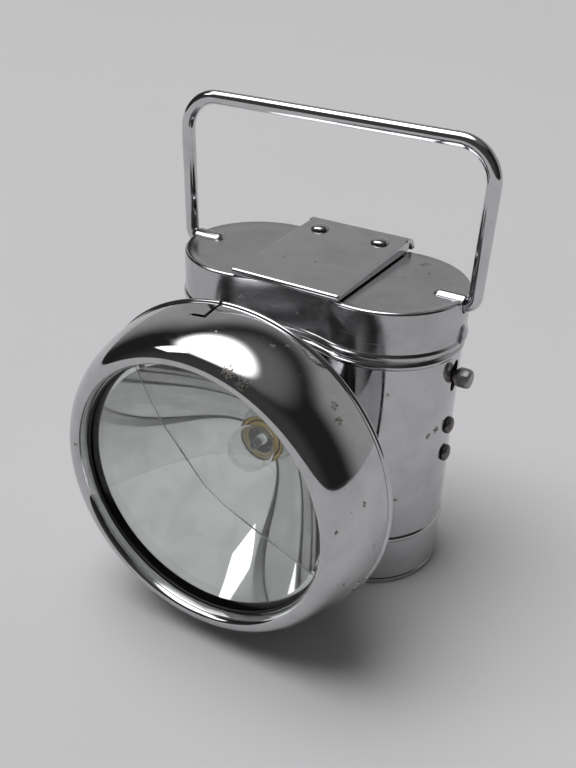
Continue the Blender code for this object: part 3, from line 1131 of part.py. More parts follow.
def lead_piece(finishes):
    """Insulated wire from the centre contact round the right cell to the switch leaf."""
    inner = CASE_LOBE_RADIUS - CASE_SHEET
    track = (inner + CELL_RADIUS) / 2
    start_reach = HOLDER_BACK_REACH - GAP - LEAD_RADIUS
    sleeve = BULB_CAP_RADIUS + HOLDER_WALL + 2 * GAP
    points = [(0, -start_reach, AXIS_HEIGHT), (sleeve / 2, -start_reach, AXIS_HEIGHT),
              (sleeve + LEAD_RADIUS, -start_reach, AXIS_HEIGHT)]
    first, last = LEAD_START, LEAD_END
    steps = 14
    drop = LEAD_DROP
    centre = (LOBE_CENTRE + CELL_SPACING / 2) / 2
    for step in range(steps + 1):
        angle = first + (last - first) * step / steps
        level = AXIS_HEIGHT - drop * step / steps
        points.append((centre + track * math.cos(angle), track * math.sin(angle), level))
    curve = bpy.data.curves.new("switch_lead", "CURVE")
    curve.dimensions = "3D"
    curve.bevel_depth = LEAD_RADIUS
    curve.bevel_resolution = 1
    curve.use_fill_caps = True
    spline = curve.splines.new("POLY")
    spline.points.add(len(points) - 1)
    for point, place in zip(spline.points, points):
        point.co = (*place, 1)
    curve.materials.append(finishes["insulation"])
    lead = bpy.data.objects.new("switch_lead", curve)
    bpy.context.collection.objects.link(lead)


def main():
    """Build every piece of the lamp."""
    clear_scene()
    chrome = (0.62, 0.63, 0.64)
    names = {
        "chrome": finish("chrome_case", chrome, 0.14, 1.0),
        "chrome_base": finish("chrome_base", chrome, 0.2, 1.0),
        "chrome_lid": finish("chrome_lid", chrome, 0.22, 1.0),
        "chrome_rivet": finish("chrome_rivet", chrome, 0.2, 1.0),
        "chrome_wire": finish("chrome_wire", chrome, 0.12, 1.0),
        "chrome_bezel": finish("chrome_bezel", chrome, 0.1, 1.0),
        "chrome_shell": finish("chrome_shell", chrome, 0.2, 1.0),
        "steel": finish("plated_steel", (0.5, 0.5, 0.49), 0.35, 1.0),
        "dull_steel": finish("dull_steel", (0.36, 0.34, 0.31), 0.5, 1.0),
        "rivet": finish("dark_rivet", (0.3, 0.29, 0.28), 0.4, 1.0),
        "zinc": finish("zinc_saddle", (0.45, 0.45, 0.46), 0.5, 1.0),
        "rubber": finish("black_rubber", (0.02, 0.02, 0.02), 0.7),
        "glass": finish("lens_glass", (0.9, 0.95, 0.93), 0.02, 0.0, 0.2),
        "bulb_glass": finish("bulb_glass", (0.93, 0.95, 0.95), 0.02, 0.0, 0.25),
        "silver": finish("silvered_reflector", (0.8, 0.8, 0.79), 0.06, 1.0),
        "brass": finish("brass", (0.68, 0.54, 0.26), 0.3, 1.0),
        "solder": finish("solder", (0.55, 0.55, 0.55), 0.35, 1.0),
        "fibre": finish("vulcanised_fibre", (0.2, 0.07, 0.04), 0.7),
        "insulation": finish("wire_insulation", (0.05, 0.05, 0.05), 0.6),
        "cell": finish("cell_jacket", (0.09, 0.14, 0.3), 0.6),
    }
    hinge = add_pivot("lid_hinge_axis", (0, HINGE_AXIS_REACH, HINGE_AXIS_HEIGHT))
    twist = add_pivot("bezel_axis", (0, -BEZEL_REAR_REACH, AXIS_HEIGHT))
    slide = add_pivot("switch_axis", (END_REACH, 0, KNOB_HEIGHT))
    bpy.context.view_layer.update()
    case_pieces(names)
    lid_pieces(names, hinge)
    strap_pieces(names, hinge)
    hinge_pieces(names)
    bail_piece(names, hinge)
    head_pieces(names, twist)
    contact_pieces(names)
    switch_pieces(names, slide)
    battery_pieces(names, hinge)
    lead_piece(names)


main()
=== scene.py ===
"""Dressed model of a two-cell hand lamp: lobed chromed case, hinged lid with a wire bail, round head.

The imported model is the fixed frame: metres, +Z up, the head looks along -Y and the switch is on
the +X end. Every size here is read from the frame or stands beside the piece that it belongs to.
"""

import enum
import json
import logging
import math
from dataclasses import dataclass
from typing import Iterable, Sequence

import bmesh
import bpy
from mathutils import Matrix, Vector


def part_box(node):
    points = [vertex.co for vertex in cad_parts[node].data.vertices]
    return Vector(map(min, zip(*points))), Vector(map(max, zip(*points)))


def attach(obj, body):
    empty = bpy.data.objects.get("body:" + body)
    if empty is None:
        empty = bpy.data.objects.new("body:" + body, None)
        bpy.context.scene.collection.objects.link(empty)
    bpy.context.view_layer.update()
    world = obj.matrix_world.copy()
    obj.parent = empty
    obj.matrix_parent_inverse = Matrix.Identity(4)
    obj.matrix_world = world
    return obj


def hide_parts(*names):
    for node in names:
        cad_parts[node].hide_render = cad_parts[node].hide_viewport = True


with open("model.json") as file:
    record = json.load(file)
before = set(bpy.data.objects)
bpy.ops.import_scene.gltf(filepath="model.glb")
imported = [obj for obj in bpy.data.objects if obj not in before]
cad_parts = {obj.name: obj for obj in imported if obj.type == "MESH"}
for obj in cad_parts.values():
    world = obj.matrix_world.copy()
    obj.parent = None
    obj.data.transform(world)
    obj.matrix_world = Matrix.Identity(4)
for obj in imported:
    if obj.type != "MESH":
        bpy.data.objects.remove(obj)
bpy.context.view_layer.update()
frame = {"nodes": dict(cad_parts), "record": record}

LOG = logging.getLogger("hand_lamp")
MM = 0.001
MERGE_DISTANCE = 0.0001 * MM
FINE_STEPS = 192
# Heights that two sub-assemblies share: the head's axis, the bail's pivots and the switch
HEAD_AXIS = 39.5 * MM
BAIL_PIVOT = 73.3 * MM
SWITCH_HEIGHT = 55.4 * MM
Profile = list[tuple[float, float]]
Colour = tuple[float, float, float]


class Body(enum.Enum):
    """The moving bodies of the frame."""

    CASE = "case"
    LID = "lid"
    BAIL = "bail"
    BEZEL = "bezel"
    SWITCH = "switch"


class Signal:
    """A node socket on which arithmetic adds Math nodes to its tree."""

    def __init__(self, tree: bpy.types.NodeTree, socket: bpy.types.NodeSocket) -> None:
        """Wrap one output socket of a tree."""
        self.tree = tree
        self.socket = socket

    def _math(self, operation: str, first: "Signal | float", second: "Signal | float") -> "Signal":
        """Add one Math node and return its result."""
        return add_node(self.tree, "ShaderNodeMath", {"operation": operation}, {0: first, 1: second})

    def __add__(self, other: "Signal | float") -> "Signal":
        """Return the sum."""
        return self._math("ADD", self, other)

    def __radd__(self, other: float) -> "Signal":
        """Return the sum with a number on the left."""
        return self._math("ADD", other, self)

    def __sub__(self, other: "Signal | float") -> "Signal":
        """Return the difference."""
        return self._math("SUBTRACT", self, other)

    def __rsub__(self, other: float) -> "Signal":
        """Return a number less this signal."""
        return self._math("SUBTRACT", other, self)

    def __mul__(self, other: "Signal | float") -> "Signal":
        """Return the product."""
        return self._math("MULTIPLY", self, other)

    def __rmul__(self, other: float) -> "Signal":
        """Return the product with a number on the left."""
        return self._math("MULTIPLY", other, self)

    def __truediv__(self, other: "Signal | float") -> "Signal":
        """Return the quotient."""
        return self._math("DIVIDE", self, other)

    def __pow__(self, other: float) -> "Signal":
        """Return the power."""
        return self._math("POWER", self, other)

    def larger(self, other: "Signal | float") -> "Signal":
        """Return the larger of two values."""
        return self._math("MAXIMUM", self, other)

    def smaller(self, other: "Signal | float") -> "Signal":
        """Return the smaller of two values."""
        return self._math("MINIMUM", self, other)

    def ramp(self, low: float, high: float, start: float = 0.0, end: float = 1.0) -> "Signal":
        """Return the value mapped smoothly from low and high to start and end."""
        settings = {"interpolation_type": "SMOOTHSTEP"}
        return add_node(self.tree, "ShaderNodeMapRange", settings,
                        {"Value": self, "From Min": low, "From Max": high, "To Min": start, "To Max": end})


def find_socket(sockets: Iterable[bpy.types.NodeSocket], key: "str | int") -> bpy.types.NodeSocket:
    """Find a socket by its number, identifier or name.

    Args:
        sockets: The inputs or outputs of a node.
        key: What to look for.

    Returns:
        The socket.
    """
    listed = list(sockets)
    if isinstance(key, int):
        return listed[key]
    for socket in listed:
        if socket.identifier == key:
            return socket
    return next(socket for socket in listed if socket.name == key)


def add_node(tree: bpy.types.NodeTree, kind: str, settings: dict[str, object],
             inputs: dict["str | int", object], output: "str | int" = 0) -> Signal:
    """Add one node, set it up and feed it.

    Args:
        tree: The tree that the node joins.
        kind: The node's type.
        settings: Properties of the node, and "stops" for the stops of a colour ramp.
        inputs: A signal or a plain value for each input that is used.
        output: The output to return.

    Returns:
        The chosen output.
    """
    node = tree.nodes.new(kind)
    for name, value in settings.items():
        if name == "stops":
            stops = node.color_ramp.elements
            while len(stops) < len(value):
                stops.new(1.0)
            for stop, (place, colour) in zip(stops, value):
                stop.position = place
                stop.color = (*colour, 1.0)
        else:
            setattr(node, name, value)
    for key, value in inputs.items():
        socket = find_socket(node.inputs, key)
        if isinstance(value, Signal):
            tree.links.new(value.socket, socket)
        else:
            socket.default_value = value
    return Signal(tree, find_socket(node.outputs, output))


class Painter:
    """Builds one material round a Principled shader."""

    def __init__(self, name: str) -> None:
        """Start a material of that name."""
        self.material = bpy.data.materials.new(name)
        self.material.use_nodes = True
        self.tree = self.material.node_tree
        self.shader = self.tree.nodes["Principled BSDF"]
        self.place = self.add("ShaderNodeTexCoord", {}, {}, "Object")

    def add(self, kind: str, settings: dict[str, object], inputs: dict["str | int", object],
            output: "str | int" = 0) -> Signal:
        """Add one node to the material and return one of its outputs."""
        return add_node(self.tree, kind, settings, inputs, output)

    def scaled(self, factors: Sequence[float]) -> Signal:
        """Return the place on the piece, stretched by a factor along each axis."""
        return self.add("ShaderNodeVectorMath", {"operation": "MULTIPLY"}, {0: self.place, 1: tuple(factors)})

    def noise(self, size: float, detail: float = 3.0, roughness: float = 0.55, distortion: float = 0.0,
              place: "Signal | None" = None) -> Signal:
        """Add noise of one grain.

        Args:
            size: The grain's size in metres.
            detail: How many finer layers it holds.
            roughness: How strong the finer layers are.
            distortion: How far it is bent by itself.
            place: The coordinates, or the place on the piece where none are given.

        Returns:
            The noise, from 0 to 1.
        """
        inputs = {"Vector": place or self.place, "Scale": 1.0 / size, "Detail": detail,
                  "Roughness": roughness, "Distortion": distortion}
        return self.add("ShaderNodeTexNoise", {"normalize": True}, inputs, "Fac")

    def specks(self, spacing: float, radius: float, share: float) -> Signal:
        """Add scattered round specks.

        Args:
            spacing: The mean distance between places where a speck may lie, in metres.
            radius: The radius of the largest speck, in metres.
            share: The share of those places that hold one.

        Returns:
            A mask that is 1 in a speck.
        """
        inputs = {"Vector": self.place, "Scale": 1.0 / spacing, "Randomness": 1.0}
        distance = self.add("ShaderNodeTexVoronoi", {"feature": "F1"}, inputs, "Distance")
        colour = self.add("ShaderNodeTexVoronoi", {"feature": "F1"}, inputs, "Color")
        pick = self.add("ShaderNodeSeparateColor", {}, {0: colour}, 0)
        size = self.add("ShaderNodeSeparateColor", {}, {0: colour}, 1)
        edge = size * (radius / spacing)
        inside = (edge - distance).ramp(0.0, 0.25 * radius / spacing)
        return inside * pick.ramp(1.0 - share, 1.001 - share)

    def blot(self, centre: Sequence[float], radius: float, grain: float, cover: float = 0.5) -> Signal:
        """Add one ragged stain.

        Args:
            centre: Its middle, in metres.
            radius: How far it reaches, in metres.
            grain: The size of its specks, in metres.
            cover: How much of the middle it covers, from 0 to 1.

        Returns:
            A mask that is 1 in the stain.
        """
        distance = self.add("ShaderNodeVectorMath", {"operation": "DISTANCE"},
                            {0: self.place, 1: tuple(centre)}, "Value")
        near = distance.ramp(radius, radius * 0.15)
        ragged = self.noise(grain, 5.0, 0.65)
        return (near * (0.26 + 0.24 * cover) + ragged - 0.80).ramp(0.0, 0.08)

    def mix(self, factor: "Signal | float", first: "Signal | Colour", second: "Signal | Colour") -> Signal:
        """Mix two colours.

        Args:
            factor: 0 for the first, 1 for the second.
            first: The first colour.
            second: The second colour.

        Returns:
            The mixed colour.
        """
        def full(colour: "Signal | Colour") -> object:
            """Return a colour with its alpha."""
            return colour if isinstance(colour, Signal) else (*colour, 1.0)

        inputs = {"Factor_Float": factor, "A_Color": full(first), "B_Color": full(second)}
        return self.add("ShaderNodeMix", {"data_type": "RGBA"}, inputs, "Result_Color")

    def bump(self, height: Signal, depth: float, strength: float = 1.0) -> None:
        """Raise the surface by a height signal, of which 1 stands for depth."""
        inputs = {"Height": height, "Distance": depth, "Strength": strength}
        self.feed("Normal", self.add("ShaderNodeBump", {}, inputs, "Normal"))

    def feed(self, name: str, value: "Signal | float | Colour") -> None:
        """Feed one input of the shader.

        Args:
            name: The input's name.
            value: A signal, a number or a colour.
        """
        socket = self.shader.inputs[name]
        if isinstance(value, Signal):
            self.tree.links.new(value.socket, socket)
        elif isinstance(value, tuple):
            socket.default_value = (*value, 1.0)
        else:
            socket.default_value = value


@dataclass(frozen=True)
class Blot:
    """One stain that the lamp has picked up: its middle and reach in metres."""

    centre: tuple[float, float, float]
    reach: float
    cover: float = 0.5


@dataclass(frozen=True)
class ChromeFinish:
    """Old chromium plating: bright, a little hazy, with pits, wipe marks and brown blooms."""

    name: str
    tint: Colour = (0.62, 0.62, 0.63)
    gloss: float = 0.05
    haze: float = 0.16
    pit_share: float = 0.22
    blots: tuple[Blot, ...] = ()
    rust: Colour = (0.055, 0.034, 0.018)

    def build(self) -> bpy.types.Material:
        """Return the finish as a material."""
        paint = Painter(self.name)
        cloud = paint.noise(9 * MM, 4.0, 0.6, 0.4)
        grime = paint.noise(3.2 * MM, 6.0, 0.7)
        wipe = paint.noise(6 * MM, 3.0, 0.6, 0.0, paint.scaled((1.0, 1.0, 14.0)))
        pits = paint.specks(2.6 * MM, 0.34 * MM, self.pit_share)
        dots = paint.specks(1.1 * MM, 0.1 * MM, self.pit_share * 1.5)
        clusters = paint.noise(14 * MM, 2.0).ramp(0.42, 0.62)
        marks = (pits * clusters).larger(dots * clusters * 0.7)
        colour = paint.mix(cloud.ramp(0.35, 0.75), self.tint, tuple(0.86 * part for part in self.tint))
        colour = paint.mix(marks * 0.75, colour, (0.16, 0.14, 0.12))
        dull = marks
        for blot in self.blots:
            stain = paint.blot(blot.centre, blot.reach * 1.35, 0.55 * MM, blot.cover)
            colour = paint.mix(stain * 0.9, colour, self.rust)
            halo = paint.blot(blot.centre, blot.reach * 1.5, 2.4 * MM, blot.cover)
            colour = paint.mix(halo * 0.22, colour, (0.36, 0.31, 0.2))
            dull = dull.larger(stain)
        rough = self.gloss + cloud.ramp(0.4, 0.8) * self.haze * 0.5 + wipe.ramp(0.52, 0.8) * self.haze * 0.5
        rough = rough + grime.ramp(0.6, 0.8) * self.haze
        paint.feed("Base Color", colour)
        paint.feed("Roughness", (rough + dull * 0.45).smaller(0.85))
        paint.feed("Metallic", 1.0 - dull * 0.7)
        relief = cloud * 0.12 + grime * 0.03 - marks * 0.6
        paint.bump(relief, 0.05 * MM, 0.6)
        return paint.material


@dataclass(frozen=True)
class SteelFinish:
    """Plain or lightly rusted steel with a fine grain."""

    name: str
    tint: Colour
    roughness: float
    rust_share: float = 0.2
    rust: Colour = (0.16, 0.085, 0.04)

    def build(self) -> bpy.types.Material:
        """Return the finish as a material."""
        paint = Painter(self.name)
        grain = paint.noise(0.35 * MM, 4.0, 0.6)
        cloud = paint.noise(2.2 * MM, 4.0, 0.65)
        rust = cloud.ramp(0.72 - 0.3 * self.rust_share, 0.86 - 0.3 * self.rust_share)
        colour = paint.mix(grain, self.tint, tuple(0.7 * part for part in self.tint))
        paint.feed("Base Color", paint.mix(rust * 0.8, colour, self.rust))
        paint.feed("Roughness", self.roughness + 0.18 * grain + 0.3 * rust)
        paint.feed("Metallic", 1.0 - 0.7 * rust)
        paint.bump(grain * 0.5 + rust * 0.8, 0.03 * MM, 0.7)
        return paint.material


@dataclass(frozen=True)
class PlainFinish:
    """Non-metal such as rubber, fibre or a card jacket, mottled and softly uneven."""

    name: str
    tint: Colour
    shade: Colour
    roughness: float
    grain: float
    metallic: float = 0.0

    def build(self) -> bpy.types.Material:
        """Return the finish as a material."""
        paint = Painter(self.name)
        fine = paint.noise(self.grain, 5.0, 0.6)
        broad = paint.noise(self.grain * 8, 3.0)
        paint.feed("Base Color", paint.mix(fine * 0.5 + broad.ramp(0.35, 0.7) * 0.5, self.tint, self.shade))
        paint.feed("Roughness", self.roughness + 0.2 * fine - 0.1)
        paint.feed("Metallic", self.metallic)
        paint.bump(fine, 0.03 * MM, 0.6)
        return paint.material


@dataclass(frozen=True)
class GlassFinish:
    """Clear glass with faint dust and grease."""

    name: str
    tint: Colour = (0.96, 0.98, 0.97)
    dust: float = 0.06

    def build(self) -> bpy.types.Material:
        """Return the finish as a material."""
        paint = Painter(self.name)
        film = paint.noise(7 * MM, 4.0, 0.6).ramp(0.45, 0.8)
        paint.feed("Base Color", self.tint)
        paint.feed("Transmission Weight", 1.0)
        paint.feed("IOR", 1.46)
        paint.feed("Roughness", film * self.dust)
        return paint.material


@dataclass(frozen=True)
class CrackFinish:
    """Pale sliver of light that an old crack throws inside clear glass."""

    name: str
    tint: Colour = (0.92, 0.95, 0.93)

    def build(self) -> bpy.types.Material:
        """Return the finish as a material."""
        paint = Painter(self.name)
        patch = paint.noise(2.4 * MM, 4.0, 0.7)
        paint.feed("Base Color", paint.mix(patch, self.tint, tuple(0.6 * part for part in self.tint)))
        paint.feed("Roughness", 0.25 + 0.3 * patch)
        paint.feed("Alpha", patch.ramp(0.3, 0.6, 0.45, 0.95))
        return paint.material


@dataclass(frozen=True)
class LobedPlan:
    """Outline of the case seen from above: two round lobes with a shallow waist between them."""

    lobe_centre: float
    lobe_radius: float
    waist_depth: float
    lobe_steps: int = 44
    waist_steps: int = 14

    def outline(self, offset: float, height: float) -> list[Vector]:
        """Return the outline, grown outwards, at one height.

        Args:
            offset: How far it is grown, in metres.
            height: Its height above the floor.

        Returns:
            The points, in order round the case.
        """
        reach = (self.lobe_centre ** 2 + self.waist_depth ** 2) / (2 * self.waist_depth)
        waist_radius = reach - self.lobe_radius - offset
        waist_centre = reach - self.waist_depth
        half_waist = math.atan2(self.lobe_centre, waist_centre)
        start = math.atan2(-waist_centre, -self.lobe_centre)
        sweep = math.pi + 2 * half_waist
        radius = self.lobe_radius + offset
        points = []
        for side in (1, -1):
            for step in range(self.lobe_steps + 1):
                angle = start + sweep * step / self.lobe_steps
                points.append(Vector((side * (self.lobe_centre + radius * math.cos(angle)),
                                      side * radius * math.sin(angle), height)))
            for step in range(1, self.waist_steps):
                angle = 1.5 * math.pi + half_waist - 2 * half_waist * step / self.waist_steps
                points.append(Vector((side * waist_radius * math.cos(angle),
                                      side * (waist_centre + waist_radius * math.sin(angle)), height)))
        return points

    def loft(self, levels: Profile, closed: bool) -> bmesh.types.BMesh:
        """Skin the outline through levels.

        Args:
            levels: Pairs of an offset and a height.
            closed: Whether the last level joins the first, or both ends get a cap.

        Returns:
            The mesh.
        """
        return skin([self.outline(offset, height) for offset, height in levels], closed)


def arc(centre: tuple[float, float], radii: tuple[float, float], start: float, end: float,
        steps: int) -> Profile:
    """Return points of an elliptic arc.

    Args:
        centre: Its centre.
        radii: Its two radii.
        start: Its first angle, in degrees.
        end: Its last angle, in degrees.
        steps: How many pieces it is cut into.

    Returns:
        The points as pairs.
    """
    points = []
    for step in range(steps + 1):
        angle = math.radians(start + (end - start) * step / steps)
        points.append((centre[0] + radii[0] * math.cos(angle), centre[1] + radii[1] * math.sin(angle)))
    return points


def bead(height: float, half: float, reach: float, base: float = 0.0) -> Profile:
    """Return the rounded outline of one pressed bead.

    Args:
        height: The height of its middle.
        half: Half its own height.
        reach: How far it stands out.
        base: The offset of the wall that it stands out from.

    Returns:
        Pairs of an offset and a height.
    """
    angles = [math.radians(-90 + 15 * step) for step in range(13)]
    return [(base + reach * math.cos(angle) ** 2, height + half * math.sin(angle)) for angle in angles]


def skin(rings: Sequence[Sequence[Vector]], closed: bool) -> bmesh.types.BMesh:
    """Skin rings of points.

    Args:
        rings: The rings, each with as many points.
        closed: Whether the last ring joins the first, or both ends get a cap.

    Returns:
        The mesh.
    """
    made = bmesh.new()
    loops = [[made.verts.new(point) for point in ring] for ring in rings]
    pairs = list(zip(loops, loops[1:]))
    if closed:
        pairs.append((loops[-1], loops[0]))
    else:
        made.faces.new(loops[0])
        made.faces.new(loops[-1])
    for low, high in pairs:
        for index in range(len(low)):
            after = (index + 1) % len(low)
            made.faces.new((low[index], low[after], high[after], high[index]))
    return made


def turned(profile: Profile, axis_height: float, closed: bool = True, steps: int = 160) -> bmesh.types.BMesh:
    """Turn an outline about the head's axis, which runs along Y.

    Args:
        profile: Pairs of a radius and a reach towards -Y.
        axis_height: The height of the axis.
        closed: Whether the outline closes on itself, as a sheet's does.
        steps: How many steps there are round the axis.

    Returns:
        The mesh, closed at its poles.
    """
    made = bmesh.new()
    loops = []
    for step in range(steps):
        across, up = math.sin(math.tau * step / steps), math.cos(math.tau * step / steps)
        loops.append([made.verts.new((radius * across, -reach, axis_height + radius * up))
                      for radius, reach in profile])
    count = len(profile)
    for step in range(steps):
        here, there = loops[step], loops[(step + 1) % steps]
        for index in range(count if closed else count - 1):
            after = (index + 1) % count
            made.faces.new((here[index], here[after], there[after], there[index]))
    bmesh.ops.remove_doubles(made, verts=made.verts, dist=MERGE_DISTANCE)
    bmesh.ops.dissolve_degenerate(made, edges=made.edges, dist=MERGE_DISTANCE)
    loose = [edge for edge in made.edges if not edge.link_faces]
    bmesh.ops.delete(made, geom=loose, context="EDGES")
    return made


def pin(start: Vector, axis: Vector, stations: Profile, steps: int = 48) -> bmesh.types.BMesh:
    """Turn a pin along any axis.

    Args:
        start: The middle of its first end.
        axis: Its direction.
        stations: Pairs of a distance and a radius.
        steps: How many sides it has.

    Returns:
        The mesh.
    """
    turn = axis.to_track_quat("Z", "Y").to_matrix()
    rings = []
    for distance, radius in stations:
        ring = []
        for step in range(steps):
            angle = math.tau * (step + 0.5) / steps
            ring.append(start + axis * distance
                        + turn @ Vector((radius * math.cos(angle), radius * math.sin(angle), 0.0)))
        rings.append(ring)
    return skin(rings, False)


def new_object(name: str, data: bpy.types.ID) -> bpy.types.Object:
    """Make an object of a mesh, a lamp or a camera and link it to the scene."""
    item = bpy.data.objects.new(name, data)
    bpy.context.scene.collection.objects.link(item)
    return item


def store(made: bmesh.types.BMesh, mesh: bpy.types.Mesh) -> None:
    """Merge points that coincide, turn the faces outwards and keep the result in a mesh."""
    bmesh.ops.remove_doubles(made, verts=made.verts, dist=MERGE_DISTANCE)
    bmesh.ops.recalc_face_normals(made, faces=made.faces)
    made.to_mesh(mesh)
    made.free()


def to_object(name: str, made: bmesh.types.BMesh) -> bpy.types.Object:
    """Make a linked object of a mesh, with its faces pointing outwards."""
    mesh = bpy.data.meshes.new(name)
    store(made, mesh)
    return new_object(name, mesh)


def plain_mesh(item: bpy.types.Object) -> bpy.types.Object:
    """Turn an object with modifiers, or a curve, into a plain mesh object of the same name."""
    bpy.context.view_layer.update()
    ready = item.evaluated_get(bpy.context.evaluated_depsgraph_get())
    mesh = bpy.data.meshes.new_from_object(ready)
    name = item.name
    bpy.data.objects.remove(item)
    return new_object(name, mesh)


def boolean(target: bpy.types.Object, tools: Sequence[bmesh.types.BMesh], operation: str) -> bpy.types.Object:
    """Cut or join closed meshes.

    Args:
        target: The object that is changed.
        tools: The closed meshes that cut it or join it.
        operation: The boolean's operation.

    Returns:
        The result as a plain mesh.
    """
    helpers = [to_object(f"{target.name}_tool_{index}", tool) for index, tool in enumerate(tools)]
    for helper in helpers:
        step = target.modifiers.new(helper.name, "BOOLEAN")
        step.operation = operation
        step.object = helper
    made = plain_mesh(target)
    for helper in helpers:
        bpy.data.objects.remove(helper)
    return made


class Grower:
    """A Geometry Nodes tree with named inputs that grows one kind of piece."""

    def __init__(self, name: str, inputs: dict[str, float]) -> None:
        """Start a tree.

        Args:
            name: The tree's name.
            inputs: The name and value of each size that it takes.
        """
        self.tree = bpy.data.node_groups.new(name, "GeometryNodeTree")
        self.tree.is_modifier = True
        face = self.tree.interface
        face.new_socket("Geometry", in_out="INPUT", socket_type="NodeSocketGeometry")
        self.values = inputs
        self.keys = {}
        for label in inputs:
            socket = face.new_socket(label, in_out="INPUT", socket_type="NodeSocketFloat")
            self.keys[label] = socket.identifier
        face.new_socket("Geometry", in_out="OUTPUT", socket_type="NodeSocketGeometry")
        self.source = self.tree.nodes.new("NodeGroupInput")
        self.target = self.tree.nodes.new("NodeGroupOutput")

    def size(self, label: str) -> Signal:
        """Return one of the tree's inputs."""
        return Signal(self.tree, find_socket(self.source.outputs, label))

    def add(self, kind: str, settings: dict[str, object], inputs: dict["str | int", object],
            output: "str | int" = 0) -> Signal:
        """Add one node to the tree and return one of its outputs."""
        return add_node(self.tree, kind, settings, inputs, output)

    def vector(self, x: "Signal | float", y: "Signal | float", z: "Signal | float") -> Signal:
        """Return a vector of three values."""
        return self.add("ShaderNodeCombineXYZ", {}, {0: x, 1: y, 2: z})

    def grow(self, result: Signal, carrier: bpy.types.Object, finish: bpy.types.Material) -> bpy.types.Object:
        """End the tree, run it on a carrier and keep what it makes.

        Args:
            result: The geometry that the tree makes.
            carrier: The object whose geometry feeds the tree.
            finish: The material that it sets.

        Returns:
            The result as a plain mesh under the carrier's name.
        """
        real = self.add("GeometryNodeRealizeInstances", {}, {"Geometry": result})
        dressed = self.add("GeometryNodeSetMaterial", {}, {"Geometry": real, "Material": finish})
        self.tree.links.new(dressed.socket, self.target.inputs[0])
        step = carrier.modifiers.new(self.tree.name, "NODES")
        step.node_group = self.tree
        for label, key in self.keys.items():
            step[key] = self.values[label]
        return plain_mesh(carrier)


def carrier(name: str, points: Sequence[Vector], joined: bool) -> bpy.types.Object:
    """Make the object of bare points that feeds a tree.

    Args:
        name: The object's name.
        points: Where a tree sets its copies, or the path that it follows.
        joined: Whether edges join the points into one open line.

    Returns:
        The object.
    """
    edges = [(index, index + 1) for index in range(len(points) - 1)] if joined else []
    mesh = bpy.data.meshes.new(name)
    mesh.from_pydata([tuple(point) for point in points], edges, [])
    return new_object(name, mesh)


class Workshop:
    """Makes every finish once and hands it out by the name of its slot."""

    def __init__(self) -> None:
        """Build all finishes."""
        self.made = {finish.name: finish.build() for finish in FINISHES}

    def __getitem__(self, slot: str) -> bpy.types.Material:
        """Return the material of one slot."""
        return self.made[slot]

    def dress_carried_nodes(self) -> None:
        """Give every node of the frame the material of its slot."""
        for row in frame["record"]["subparts"]:
            item = frame["nodes"][row["node"]]
            material = self.made[row["material_slot"]]
            if not item.material_slots:
                item.data.materials.append(material)
            for place in item.material_slots:
                place.material = material


@dataclass
class SubAssembly:
    """One group of the lamp's pieces, with the finishes that they are dressed in."""

    shop: Workshop

    def dress(self, item: bpy.types.Object, body: Body, slot: str, nodes: Sequence[str] = (),
              angle: float = 32.0, finish: str = "") -> None:
        """Dress a finished piece and hang it on its body.

        Args:
            item: The piece, as a plain mesh.
            body: The body that it rides on.
            slot: Its slot in the record, which names its finish too.
            nodes: The nodes that it stands for.
            angle: The angle past which an edge stays sharp, in degrees.
            finish: The finish, where it isn't the slot's own.
        """
        item.data.materials.clear()
        item.data.materials.append(self.shop[finish or slot])
        item.data.shade_smooth()
        item.data.set_sharp_from_angle(angle=math.radians(angle))
        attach(item, body.value)
        if nodes:
            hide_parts(*nodes)
        LOG.info("%s rides on %s with %d faces", item.name, body.value, len(item.data.polygons))


